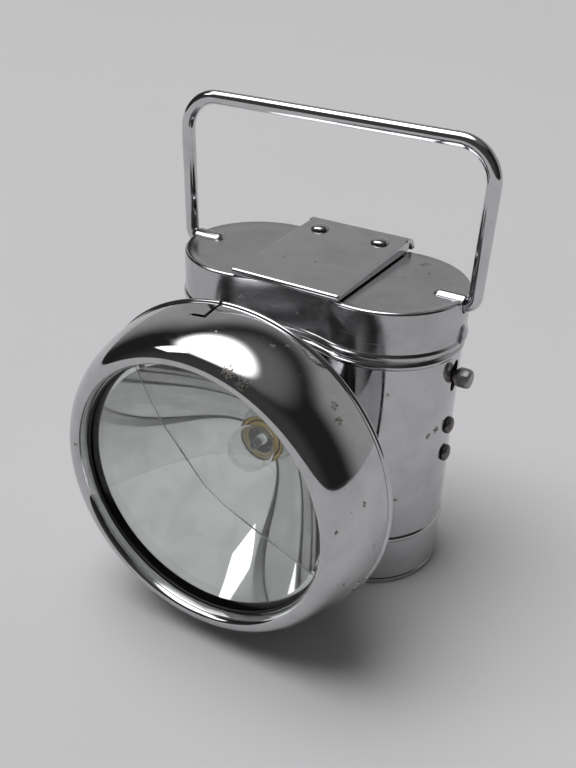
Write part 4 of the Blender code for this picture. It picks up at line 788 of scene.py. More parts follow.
@dataclass
class LampHead(SubAssembly):
    """Round head: bezel with glass and gasket, reflector, bulb and the shell that is bolted to the case."""

    axis: float = HEAD_AXIS
    radius: float = 39.1 * MM
    rear: float = 38.15 * MM
    lip: float = 52.05 * MM
    crown_rise: float = 2.95 * MM
    opening: float = 30.6 * MM
    round_width: float = 7.3 * MM
    sheet: float = 0.7 * MM
    bead: float = 0.55 * MM
    gap: float = 0.3 * MM
    gasket_reach: tuple[float, float] = (51.75 * MM, 51.25 * MM)
    glass_reach: tuple[float, float] = (51.15 * MM, 49.15 * MM)
    glass_radius: float = 33.8 * MM
    mirror_rim: float = 29.18 * MM
    mirror_front: float = 48.85 * MM
    mirror_vertex: float = 24.7 * MM
    mirror_hole: float = 5.95 * MM
    shell_back: tuple[float, float] = (19.0 * MM, 13.0 * MM)
    bulb_centre: float = 30.0 * MM
    bulb_radius: float = 5.5 * MM
    bulb_neck: float = 3.4 * MM
    cap_reach: tuple[float, float] = (25.6 * MM, 18.0 * MM)
    cap_radius: float = 4.7 * MM
    slot_angle: float = math.radians(-9.5)
    slot_turn: float = math.radians(5.0)
    slot_place: float = 6.2 * MM
    pin_radius: float = 0.3 * MM

    def build(self) -> None:
        """Build and dress the whole head."""
        self.bezel()
        self.glazing()
        self.crack()
        self.mirror()
        self.shell()
        self.bulb()

    @property
    def crown_radius(self) -> float:
        """Radius of the bezel's foremost line."""
        return self.radius - self.round_width

    def inner_radius(self, reach: float) -> float:
        """Return the radius of the bezel's inner face.

        Args:
            reach: The distance towards -Y.

        Returns:
            The radius there.
        """
        depth = self.lip + self.crown_rise - self.rear - self.sheet
        share = min(max((reach - self.rear) / depth, 0.0), 1.0)
        return self.crown_radius + (self.round_width - self.gap - self.sheet) * math.sqrt(1 - share ** 2)

    def bezel(self) -> None:
        """Spin the bezel with its rolled rear edge and cut its bayonet slots."""
        crown, depth = self.crown_radius, self.lip + self.crown_rise - self.rear
        wide = self.radius - self.bead - crown
        inner = self.round_width - self.gap - self.sheet
        profile = arc((crown, self.lip), (crown - self.opening, self.crown_rise), 180, 90, 16)
        profile += arc((crown, self.rear), (wide, depth), 90, 2, 52)[1:]
        profile += arc((self.radius - self.bead, self.rear), (self.bead, self.bead), 72, -165, 16)
        profile += arc((crown, self.rear), (inner, depth - self.sheet), 3, 88, 30)
        profile += [(crown - self.gap / 2, self.lip + self.gap), (self.opening + self.sheet, self.lip)]
        ring = to_object("bezel", turned(profile, self.axis, steps=FINE_STEPS))
        slots = [self.slot_cutter(self.slot_angle + math.tau * index / 3) for index in range(3)]
        ring = boolean(ring, slots, "DIFFERENCE")
        self.dress(ring, Body.BEZEL, "bezel_chrome", ["bezel_ring"], 38.0)

    def slot_cutter(self, angle: float) -> bmesh.types.BMesh:
        """Return the body that cuts one slot: in from the rear edge, then round.

        Args:
            angle: Where the pin stands, from the top.

        Returns:
            The mesh.
        """
        half = self.pin_radius + 0.12 * MM
        half_turn = half / self.radius
        pin_reach, outside = self.rear + self.slot_place, self.rear - 1.0 * MM
        end = angle + self.slot_turn
        corners = [(angle - half_turn, pin_reach - half), (angle - half_turn, pin_reach + half),
                   (end + half_turn, pin_reach + half), (end + half_turn, outside),
                   (end - half_turn, outside), (end - half_turn, pin_reach - half)]
        rings = []
        for radius in (self.radius - 4.0 * MM, self.radius + 1.0 * MM):
            rings.append([Vector((radius * math.sin(around), -reach, self.axis + radius * math.cos(around)))
                          for around, reach in corners])
        return skin(rings, False)

    def glazing(self) -> None:
        """Spin the rubber ring and the flat glass."""
        front, back = self.gasket_reach
        middle, half = (front + back) / 2, (front - back) / 2
        inner = self.opening - 0.35 * MM
        ring = arc((inner + half, middle), (half, half), 270, 90, 12)
        ring += [(self.glass_radius, front), (self.glass_radius, back)]
        gasket = to_object("gasket", turned(ring, self.axis))
        self.dress(gasket, Body.BEZEL, "black_rubber", ["lens_gasket"])
        front, back = self.glass_reach
        edge = 0.15 * MM
        disc = [(0.0, front), (self.glass_radius - edge, front), (self.glass_radius, front - edge),
                (self.glass_radius, back + edge), (self.glass_radius - edge, back), (0.0, back)]
        pane = to_object("lens", turned(disc, self.axis, closed=False))
        self.dress(pane, Body.BEZEL, "lens_glass", ["lens_glass"])

    def crack(self) -> None:
        """Lay the old crack through the glass as a thin sliver of light."""
        run = [(-16.0, 25.4), (-13.1, 19.6), (-9.3, 13.4), (-4.2, 7.7), (1.0, 2.0), (6.2, -1.2), (10.8, -3.2),
               (15.6, -5.2), (21.4, -7.4), (28.5, -10.0)]
        front, back = self.glass_reach
        rings = []
        for index, (across, up) in enumerate(run):
            before, after = run[max(index - 1, 0)], run[min(index + 1, len(run) - 1)]
            way = Vector((after[0] - before[0], after[1] - before[1])).normalized()
            side = Vector((-way.y, way.x)) * 0.05 * MM
            lean = Vector((way.y, -way.x)) * (0.75 + 0.2 * math.sin(index * 1.7)) * MM
            shallow, deep = -(front - 0.1 * MM), -(back + 0.15 * MM)
            x, z = across * MM, self.axis + up * MM
            rings.append([Vector((x + side.x, shallow, z + side.y)),
                          Vector((x - side.x, shallow, z - side.y)),
                          Vector((x - side.x + lean.x, deep, z - side.y + lean.y)),
                          Vector((x + side.x + lean.x, deep, z + side.y + lean.y))])
        line = to_object("lens_crack", skin(rings, False))
        self.dress(line, Body.BEZEL, "lens_glass", finish="crack_light")

    def mirror(self) -> None:
        """Grow the parabolic reflector from a flat washer by its formula."""
        sheet = 0.5 * MM
        steps, width = 64, self.mirror_rim - self.mirror_hole
        flat = [(self.mirror_hole + width * step / steps, 0.0) for step in range(steps + 1)]
        back = [(radius + sheet, -sheet) for radius, _ in flat[::-2]]
        profile = flat + [(self.glass_radius, 0.0), (self.glass_radius, -sheet)] + back
        profile += [(self.mirror_hole + sheet, -3 * sheet), (self.mirror_hole, -3 * sheet)]
        washer = to_object("reflector_bowl", turned(profile, self.axis, steps=FINE_STEPS))
        depth = self.mirror_front - self.mirror_vertex
        tree = Grower("reflector_formula", {"Axis height": self.axis, "Rim radius": self.mirror_rim,
                                            "Vertex reach": self.mirror_vertex,
                                            "Focus": self.mirror_rim ** 2 / (4 * depth)})
        place = tree.add("GeometryNodeInputPosition", {}, {})
        across = tree.add("ShaderNodeSeparateXYZ", {}, {0: place}, "X")
        height = tree.add("ShaderNodeSeparateXYZ", {}, {0: place}, "Z")
        up = height - tree.size("Axis height")
        radius = ((across ** 2 + up ** 2) ** 0.5).smaller(tree.size("Rim radius"))
        reach = tree.size("Vertex reach") + radius ** 2 / (4 * tree.size("Focus"))
        moved = tree.add("GeometryNodeSetPosition", {},
                         {"Geometry": tree.size("Geometry"), "Offset": tree.vector(0.0, 0.0 - reach, 0.0)})
        bowl = tree.grow(moved, washer, self.shop["silver"])
        self.dress(bowl, Body.CASE, "silver", ["reflector"], 40.0)

    def shell(self) -> None:
        """Spin the bowl-shaped shell and set its bayonet pins."""
        back, small = self.shell_back
        wide = self.radius - 1.3 * MM - self.sheet
        steps = 28
        outside = []
        for step in range(steps + 1):
            reach = back + (self.rear - self.bead - back) * step / steps
            share = (reach - back) / (self.rear - back)
            outside.append((math.sqrt(small ** 2 + (wide ** 2 - small ** 2) * share), reach))
        skirt = []
        for step in range(9):
            reach = self.rear + 1.0 * MM + 7.65 * MM * step / 8
            radius = min(self.radius - 2 * self.gap - self.sheet, self.inner_radius(reach) - self.gap)
            skirt.append((radius, reach))
        inside = [(radius - self.sheet, reach) for radius, reach in skirt[::-1]]
        inside += [(radius - 0.9 * self.sheet, reach + 0.6 * self.sheet) for radius, reach in outside[:0:-1]]
        hole = 7.0 * MM
        inside += [(small - self.sheet, back + self.sheet), (hole, back + self.sheet)]
        profile = [(hole, back)] + outside + skirt + inside
        bowl = to_object("lamp_bowl", turned(profile, self.axis, steps=FINE_STEPS))
        pins = []
        pin_reach = self.rear + self.slot_place
        for index in range(3):
            angle = self.slot_angle + math.tau * index / 3
            out = Vector((math.sin(angle), 0.0, math.cos(angle)))
            root = self.inner_radius(pin_reach) - 2 * self.gap
            length = self.gap * 2 + self.sheet
            start = Vector((0.0, -pin_reach, self.axis)) + out * root
            pins.append(pin(start, out, [(0.0, self.pin_radius), (length * 0.85, self.pin_radius),
                                         (length, self.pin_radius * 0.7)], 24))
        bowl = boolean(bowl, pins, "UNION")
        self.dress(bowl, Body.CASE, "case_chrome", ["head_shell"])

    def bulb(self) -> None:
        """Blow the round bulb, its brass cap, its glass foot and its filament."""
        wall = rounding = 0.35 * MM
        centre, radius, neck = self.bulb_centre, self.bulb_radius, self.bulb_neck
        front, back = self.cap_reach
        seat = front - 1.2 * MM
        start = math.degrees(math.asin(neck / radius)) - 90
        profile = [(neck, seat)]
        profile += arc((0.0, centre), (radius, radius), start, 90, 40)
        profile += arc((0.0, centre), (radius - wall, radius - wall), 90, start, 40)
        profile += [(neck - wall, seat)]
        globe = to_object("bulb_globe", turned(profile, self.axis, steps=96))
        self.dress(globe, Body.CASE, "bulb_glass", ["bulb_glass"])
        wide = self.cap_radius
        profile = [(neck + self.gap, front)]
        profile += arc((wide - rounding, front - rounding), (rounding, rounding), 90, 0, 6)
        thread = 0.75 * (front - back) - 0.6 * MM
        for index in range(24):
            depth = 0.18 * MM * (1 - math.cos(math.tau * index / 8))
            profile.append((wide - depth, seat - thread * index / 23))
        inner, floor = wide - 0.75 * MM, back + 0.4 * MM
        profile += [(wide - rounding, back), (2.3 * MM, back), (2.3 * MM, floor), (inner, floor),
                    (inner, seat - 0.4 * MM), (neck + self.gap, seat)]
        cap = to_object("bulb_screw_cap", turned(profile, self.axis, steps=96))
        self.dress(cap, Body.CASE, "brass", ["bulb_cap"], 50.0)
        foot = Vector((0.0, -seat, self.axis))
        stations = [(0.0, 2.6 * MM), (0.5 * MM, 2.6 * MM), (1.2 * MM, 1.6 * MM), (2.2 * MM, 1.0 * MM),
                    (4.6 * MM, 1.0 * MM), (5.0 * MM, 0.7 * MM)]
        stem = to_object("bulb_foot", pin(foot, Vector((0, -1, 0)), stations, 32))
        self.dress(stem, Body.CASE, "bulb_glass", ["bulb_stem"])
        self.filament()

    def filament(self) -> None:
        """Grow the two supports and the coil of the filament along their path."""
        low, high = -(self.cap_reach[0] + 2.0 * MM), -(self.bulb_centre + 0.9 * MM)
        path = [Vector((-0.5 * MM, low, self.axis)), Vector((-1.5 * MM, high, self.axis))]
        steps, coil = 90, 0.14 * MM
        for step in range(steps + 1):
            angle = math.tau * step / 10
            path.append(Vector((-1.3 * MM + 2.6 * MM * step / steps, high + coil * math.cos(angle),
                                self.axis + coil * math.sin(angle))))
        path += [Vector((1.5 * MM, high, self.axis)), Vector((0.5 * MM, low, self.axis))]
        wire = wire_along("bulb_filament", path, 0.06 * MM, self.shop["dull_steel"], 8)
        self.dress(wire, Body.CASE, "dull_steel", angle=60.0)


def wire_along(name: str, path: Sequence[Vector], radius: float, finish: bpy.types.Material,
               sides: int) -> bpy.types.Object:
    """Grow a round wire along a path.

    Args:
        name: The piece's name.
        path: The points that it follows.
        radius: The wire's radius.
        finish: Its material.
        sides: How many sides its section has.

    Returns:
        The piece as a plain mesh.
    """
    tree = Grower(f"{name}_wire", {"Wire radius": radius})
    line = tree.add("GeometryNodeMeshToCurve", {}, {0: tree.size("Geometry")})
    ring = tree.add("GeometryNodeCurvePrimitiveCircle", {},
                    {"Resolution": sides, 4: tree.size("Wire radius")})
    body = tree.add("GeometryNodeCurveToMesh", {}, {"Curve": line, "Profile Curve": ring, "Fill Caps": True})
    made = tree.grow(body, carrier(name, path, True), finish)
    clean = bmesh.new()
    clean.from_mesh(made.data)
    store(clean, made.data)
    return made


@dataclass(frozen=True)
class RivetSize:
    """Sizes of one domed rivet: its head, its shank and its upset tail."""

    head: float
    dome: float
    shank: float
    tail: float = 1.5 * MM


def grow_rivets(name: str, places: Sequence[Vector], axis: Vector, size: RivetSize,
                finish: bpy.types.Material) -> bpy.types.Object:
    """Grow domed rivets on points with Geometry Nodes.

    Args:
        name: The piece's name.
        places: Where each head sits on its sheet.
        axis: Where the heads point.
        size: The rivets' sizes.
        finish: Their material.

    Returns:
        The rivets as one plain mesh.
    """
    tree = Grower(f"{name}_grower", {"Head radius": size.head, "Dome": size.dome, "Shank": size.shank,
                                     "Tail radius": size.tail})
    ball = tree.add("GeometryNodeMeshUVSphere", {}, {"Segments": 40, "Rings": 20, "Radius": 1.0})
    wide = tree.size("Head radius")
    brim = tree.size("Dome") * 0.22
    dome = tree.add("GeometryNodeTransform", {}, {"Geometry": ball, "Scale": tree.vector(wide, wide, 1.0)})
    place = tree.add("GeometryNodeInputPosition", {}, {})
    height = tree.add("ShaderNodeSeparateXYZ", {}, {0: place}, "Z")
    lift = height.larger(0.0) * (tree.size("Dome") - brim) + brim - height
    low = tree.add("FunctionNodeCompare", {"operation": "LESS_THAN"}, {0: height, 1: -0.02})
    seated = tree.add("ShaderNodeMix", {"data_type": "FLOAT"},
                      {"Factor_Float": low, 2: lift, 3: 0.0 - height}, "Result_Float")
    dome = tree.add("GeometryNodeSetPosition", {},
                    {"Geometry": dome, "Offset": tree.vector(0.0, 0.0, seated)})
    parts = [dome]
    for sides, radius, depth, share in ((24, 0.8 * MM, tree.size("Shank"), -0.5),
                                        (32, tree.size("Tail radius"), 0.6 * MM, -1.0)):
        bar = tree.add("GeometryNodeMeshCylinder", {}, {"Vertices": sides, "Radius": radius, "Depth": depth})
        sunk = tree.vector(0.0, 0.0, tree.size("Shank") * share)
        parts.append(tree.add("GeometryNodeTransform", {}, {"Geometry": bar, "Translation": sunk}))
    whole = tree.tree.nodes.new("GeometryNodeJoinGeometry")
    for part in parts[::-1]:
        tree.tree.links.new(part.socket, whole.inputs[0])
    aim = tree.add("FunctionNodeAlignRotationToVector", {"axis": "Z"}, {"Vector": tuple(axis)})
    spread = tree.add("GeometryNodeInstanceOnPoints", {},
                      {"Points": tree.size("Geometry"), "Instance": Signal(tree.tree, whole.outputs[0]),
                       "Rotation": aim})
    return tree.grow(spread, carrier(name, places, False), finish)


@dataclass
class Case(SubAssembly):
    """Two-lobed case with its beads, the slot for the switch and the base under it."""

    plan: LobedPlan
    sheet: float = 0.6 * MM
    foot: float = 1.7 * MM
    low_bead: tuple[float, float, float] = (13.7 * MM, 0.8 * MM, 0.42 * MM)
    seam_bead: tuple[float, float, float] = (61.7 * MM, 0.8 * MM, 0.45 * MM)
    neck: float = 0.85 * MM
    neck_top: float = 66.0 * MM
    slot_size: tuple[float, float] = (8.0 * MM, 1.5 * MM)
    lead_hole: float = 7.0 * MM

    @property
    def end(self) -> float:
        """Distance from the middle to the end wall's face."""
        return self.plan.lobe_centre + self.plan.lobe_radius

    def build(self) -> None:
        """Build and dress the case and its base."""
        self.wall()
        self.base()

    def wall(self) -> None:
        """Loft the wall with its beads and neck, and cut its openings."""
        seam = self.seam_bead[0]
        levels = [(-0.12 * MM, self.foot), (0.0, self.foot + 0.15 * MM), (0.0, 7.0 * MM)]
        levels += bead(*self.low_bead)
        levels += [(0.0, 20.0 * MM + 8.0 * MM * step) for step in range(5)]
        levels += bead(*self.seam_bead)
        levels += [(-0.15 * MM, seam + 1.1 * MM), (-self.neck, seam + 1.8 * MM), (-self.neck, self.neck_top)]
        inner = -self.neck - self.sheet
        levels += [(inner, self.neck_top), (inner, seam + 1.1 * MM), (-self.sheet, seam - 0.8 * MM),
                   (-self.sheet, self.foot)]
        wall = to_object("case_wall", self.plan.loft(levels, True))
        length, half = self.slot_size
        straight = length / 2 - half
        edge = arc((0.0, SWITCH_HEIGHT + straight), (half, half), 0, 180, 20)
        edge += arc((0.0, SWITCH_HEIGHT - straight), (half, half), 180, 360, 20)
        slot = skin([[Vector((reach, across, height)) for across, height in edge]
                     for reach in (self.end - 2.0 * MM, self.end + 2.0 * MM)], False)
        hole = pin(Vector((0.0, -20.0 * MM, HEAD_AXIS)), Vector((0, 1, 0)),
                   [(0.0, self.lead_hole), (8.0 * MM, self.lead_hole)], 64)
        wall = boolean(wall, [slot, hole], "DIFFERENCE")
        self.dress(wall, Body.CASE, "case_chrome", ["case_body"])

    def base(self) -> None:
        """Loft the base plate, whose flange stands inside the wall."""
        thick, flange = 1.4 * MM, -(self.sheet + 0.3 * MM)
        levels = [(-0.6 * MM, 0.0), (-0.3 * MM, 0.08 * MM), (-0.17 * MM, 0.3 * MM), (-0.15 * MM, 0.7 * MM),
                  (-0.15 * MM, thick - 0.15 * MM), (-0.3 * MM, thick), (flange, thick), (flange, 4.0 * MM),
                  (flange - self.sheet, 4.0 * MM), (flange - self.sheet, thick)]
        plate = to_object("base", self.plan.loft(levels, False))
        self.dress(plate, Body.CASE, "case_chrome", ["base_plate"])


@dataclass
class Lid(SubAssembly):
    """Deep lid with its bumps and pips, and the strap that is riveted over it."""

    plan: LobedPlan
    low: float = 63.1 * MM
    top: float = 75.0 * MM
    reach: float = 0.4 * MM
    bead_half: float = 1.0 * MM
    bead_reach: float = 0.45 * MM
    sheet: float = 0.6 * MM
    edge: float = 0.7 * MM
    bump_radius: float = 2.53 * MM
    bump_length: float = 6.0 * MM
    pip_centre: float = 66.17 * MM
    strap_half: float = 13.7 * MM
    strap_sheet: float = 1.0 * MM
    strap_ends: tuple[float, float] = (-18.1 * MM, 18.3 * MM)
    strap_rise: tuple[float, float] = (1.6 * MM, 3.1 * MM)
    strap_turn: float = 3.45 * MM
    rivets: tuple[float, float] = (8.3 * MM, 13.0 * MM)

    @property
    def end(self) -> float:
        """Distance from the middle to the lid's end wall."""
        return self.plan.lobe_centre + self.plan.lobe_radius + self.reach

    def build(self) -> None:
        """Build and dress the lid, its strap and its rivets."""
        self.shell()
        self.strap()
        size = RivetSize(2.3 * MM, 1.0 * MM, 5.6 * MM)
        across, along = self.rivets
        seat = self.strap_top(along)
        places = [Vector((side * across, along, seat + 0.04 * MM)) for side in (-1, 1)]
        heads = grow_rivets("strap_rivets", places, Vector((0, 0, 1)), size, self.shop["lid_chrome"])
        self.dress(heads, Body.LID, "lid_chrome", ["strap_rivet_left", "strap_rivet_right"], 50.0)

    def shell(self) -> None:
        """Loft the lid from its ceiling round the rim to its top, then add bumps and pips and bore them."""
        reach, edge, low = self.reach, self.edge, self.low
        inner = self.top - self.sheet
        levels = [(reach - self.sheet - edge, inner - 0.15 * MM), (reach - self.sheet, inner - edge),
                  (reach - self.sheet, low), (reach, low)]
        levels += bead(low + self.bead_half, self.bead_half, self.bead_reach, reach)
        levels += [(reach, low + 4.0 * MM), (reach, low + 8.0 * MM)]
        levels += arc((reach - edge, self.top - edge), (edge, edge), 0, 90, 10)
        levels += [(reach - edge - across * MM, self.top - sunk * MM)
                   for across, sunk in ((0.5, 0.05), (1.1, 0.2), (2.0, 0.22))]
        lid = to_object("lid", self.plan.loft(levels, False))
        raised, bored = [], []
        for side in (1, -1):
            inward = Vector((-side, 0, 0))
            start = Vector((side * (self.end - 0.02 * MM), 0, BAIL_PIVOT))
            raised.append(pin(start, inward, self.domed(self.bump_radius, self.bump_length, 0.15 * MM), 64))
            raised.append(self.pip(side))
            start = Vector((side * (self.end + 1.0 * MM), 0, BAIL_PIVOT))
            bored.append(pin(start, inward, self.domed(1.93 * MM, self.bump_length + 1.0 * MM, 0.0), 64))
        lid = boolean(boolean(lid, raised, "UNION"), bored, "DIFFERENCE")
        self.dress(lid, Body.LID, "lid_chrome", ["lid_shell"], 26.0)

    def domed(self, radius: float, length: float, edge: float) -> Profile:
        """Return the stations of a bar with a domed far end.

        Args:
            radius: The bar's radius.
            length: Its length up to the dome.
            edge: How far its near edge is rounded.

        Returns:
            Pairs of a distance and a radius.
        """
        dome = arc((length, 0.0), (0.8 * radius, radius), 90, 4, 12)
        return [(0.0, radius - edge), (edge + 0.001 * MM, radius)] + dome

    def pip(self, side: int) -> bmesh.types.BMesh:
        """Return the catch pip of one end, wide below and narrow above.

        Args:
            side: 1 for the end with the switch, -1 for the other.

        Returns:
            The mesh.
        """
        corners = [(-1.8, -2.0), (1.8, -2.0), (0.5, 2.2), (-0.5, 2.2)]
        hollow = 0.032
        rings = []
        steps = ((-0.3, 1.12), (0.12, 1.0), (0.5, 0.8), (0.85, 0.52), (1.05, 0.24), (1.1, 0.08))
        for rise, share in steps:
            ring = []
            for index, (across, up) in enumerate(corners):
                after = corners[(index + 1) % 4]
                for step in range(6):
                    mix = step / 6
                    y, z = across + (after[0] - across) * mix, up + (after[1] - up) * mix
                    pull = share * (1.0 - hollow * (1.0 - 2.0 * abs(mix - 0.5)) ** 2)
                    ring.append(Vector((side * (self.end + rise * MM), y * pull * MM,
                                        self.pip_centre + (z * pull - 0.5 * (1 - share)) * MM)))
            rings.append(ring)
        return skin(rings, False)

    def strap_top(self, place: float) -> float:
        """Return the height of the strap's top face at one place from front to rear."""
        front, rear = self.strap_ends
        share = (place - front) / (rear - front)
        return self.top + self.strap_rise[0] + (self.strap_rise[1] - self.strap_rise[0]) * share

    def strap(self) -> None:
        """Bend the strap: rolled front edge, turned-down sides and a lip over the hinge."""
        front, rear = self.strap_ends
        half, sheet, floor, edge = self.strap_half, self.strap_sheet, self.top + 0.3 * MM, 0.75 * MM
        rings = []
        for step in range(25):
            place = front + (rear - front) * step / 24
            top = self.strap_top(place)
            corner = arc((half - edge, top - edge), (edge, edge), 0, 90, 8)
            line = [(half, floor)] + corner
            line += [(-x, z) for x, z in corner[::-1]] + [(-half, floor)]
            under = [(half - sheet, floor), (half - sheet, top - sheet)]
            line += [(-x, z) for x, z in under] + under[::-1]
            rings.append([Vector((x, place, z)) for x, z in line])
        strap = to_object("strap", skin(rings, False))
        roll = pin(Vector((-half, front, self.strap_top(front) - 0.7 * MM)), Vector((1, 0, 0)),
                   [(0.0, 0.6 * MM), (0.25 * MM, 0.85 * MM), (2 * half - 0.25 * MM, 0.85 * MM),
                    (2 * half, 0.6 * MM)], 40)
        top, turn = self.strap_top(rear), self.strap_turn
        low = top - 3.0 * MM
        line = arc((rear, top - turn), (turn, turn), 90, 0, 14)
        line += [(rear + turn, low + 0.3 * MM), (rear + turn - 0.3 * MM, low), (rear + turn - sheet, low)]
        line += arc((rear, top - turn), (turn - sheet, turn - sheet), 0, 90, 14)
        line += [(rear - sheet, top - 0.06 * MM - sheet), (rear - sheet, top - 0.06 * MM)]
        lip = skin([[Vector((x, y, z)) for y, z in line] for x in (-half, half)], False)
        strap = boolean(strap, [roll, lip], "UNION")
        self.dress(strap, Body.LID, "lid_chrome", ["lid_strap"], 34.0, "strap_chrome")


@dataclass
class Bail(SubAssembly):
    """Wire bail whose ends turn in through the lid's end walls."""

    wire: float = 1.63 * MM
    top: float = 109.11 * MM
    foot_span: float = 38.0 * MM
    half_span: float = 38.61 * MM
    corner: float = 8.5 * MM
    foot: float = 2.6 * MM
    end: float = 31.0 * MM

    def build(self) -> None:
        """Grow the bail along its path."""
        rise = self.top - BAIL_PIVOT
        half = [(self.end, 0.0), ((self.end + self.foot_span) / 2, 0.0)]
        half += arc((self.foot_span - self.foot, self.foot), (self.foot, self.foot), -90, 0, 12)
        for step in range(1, 8):
            share = step / 8
            half.append((self.foot_span + (self.half_span - self.foot_span) * share,
                         self.foot + (rise - self.corner - self.foot) * share))
        half += arc((self.half_span - self.corner, rise - self.corner), (self.corner, self.corner), 0, 90, 20)
        half += [(self.half_span - self.corner - 7.0 * MM * step, rise) for step in range(1, 5)]
        line = half + [(-x, z) for x, z in half[::-1]]
        path = [Vector((x, 0.0, BAIL_PIVOT + z)) for x, z in line]
        bail = wire_along("bail", path, self.wire, self.shop["wire_chrome"], 40)
        self.dress(bail, Body.BAIL, "wire_chrome", ["bail_handle"], 50.0)


@dataclass
class Switch(SubAssembly):
    """Sliding switch on the end wall: its knob in the slot and the two rivets of the strip inside."""

    end: float = 35.6 * MM
    rivet_heights: tuple[float, float] = (42.0 * MM, 34.2 * MM)
    facets: int = 9

    def build(self) -> None:
        """Build the knob and the rivets."""
        start = Vector((self.end - 0.86 * MM, 0.0, SWITCH_HEIGHT))
        stations = [(0.0, 1.1), (1.16, 1.1), (1.2, 1.75), (1.75, 2.2), (2.5, 2.42), (3.9, 2.4), (4.6, 2.25),
                    (4.95, 1.95), (5.08, 1.2)]
        shape = [(distance * MM, radius * MM) for distance, radius in stations]
        knob = to_object("switch_peg", pin(start, Vector((1, 0, 0)), shape, self.facets))
        round_off = knob.modifiers.new("worn edges", "BEVEL")
        round_off.width = 0.16 * MM
        round_off.segments = 3
        round_off.limit_method = "ANGLE"
        round_off.angle_limit = math.radians(24)
        self.dress(plain_mesh(knob), Body.SWITCH, "dull_steel", ["switch_knob"], 30.0)
        places = [Vector((self.end + 0.05 * MM, 0.0, height)) for height in self.rivet_heights]
        size = RivetSize(2.1 * MM, 1.3 * MM, 3.2 * MM, 1.4 * MM)
        heads = grow_rivets("switch_rivets", places, Vector((1, 0, 0)), size, self.shop["dark_rivet"])
        self.dress(heads, Body.CASE, "dark_rivet", ["switch_rivet_upper", "switch_rivet_lower"], 50.0)


@dataclass
class HingeRivets(SubAssembly):
    """The two rivets that hold the lower hinge leaf to the case."""

    def build(self) -> None:
        """Grow the rivets where the record's nodes stand."""
        nodes = ["leaf_rivet_left", "leaf_rivet_right"]
        places = []
        for node in nodes:
            low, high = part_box(node)
            places.append(Vector(((low[0] + high[0]) / 2, high[1] - 1.1 * MM, (low[2] + high[2]) / 2)))
        size = RivetSize(2.1 * MM, 1.1 * MM, 3.6 * MM, 1.4 * MM)
        heads = grow_rivets("leaf_rivets", places, Vector((0, 1, 0)), size, self.shop["dark_rivet"])
        self.dress(heads, Body.CASE, "dark_rivet", nodes, 50.0)


@dataclass(frozen=True)
class SoftBox:
    """One area lamp: its place, where it aims, its sides and its power."""

    name: str
    place: tuple[float, float, float]
    aim: tuple[float, float, float]
    sides: tuple[float, float]
    power: float

    def light(self) -> None:
        """Hang the lamp."""
        lamp = bpy.data.lights.new(self.name, "AREA")
        lamp.shape = "RECTANGLE"
        lamp.size, lamp.size_y = self.sides
        lamp.energy = self.power
        place, aim = Vector(self.place), Vector(self.aim)
        turn = (aim - place).to_track_quat("-Z", "Y").to_matrix().to_4x4()
        new_object(self.name, lamp).matrix_world = Matrix.Translation(place) @ turn


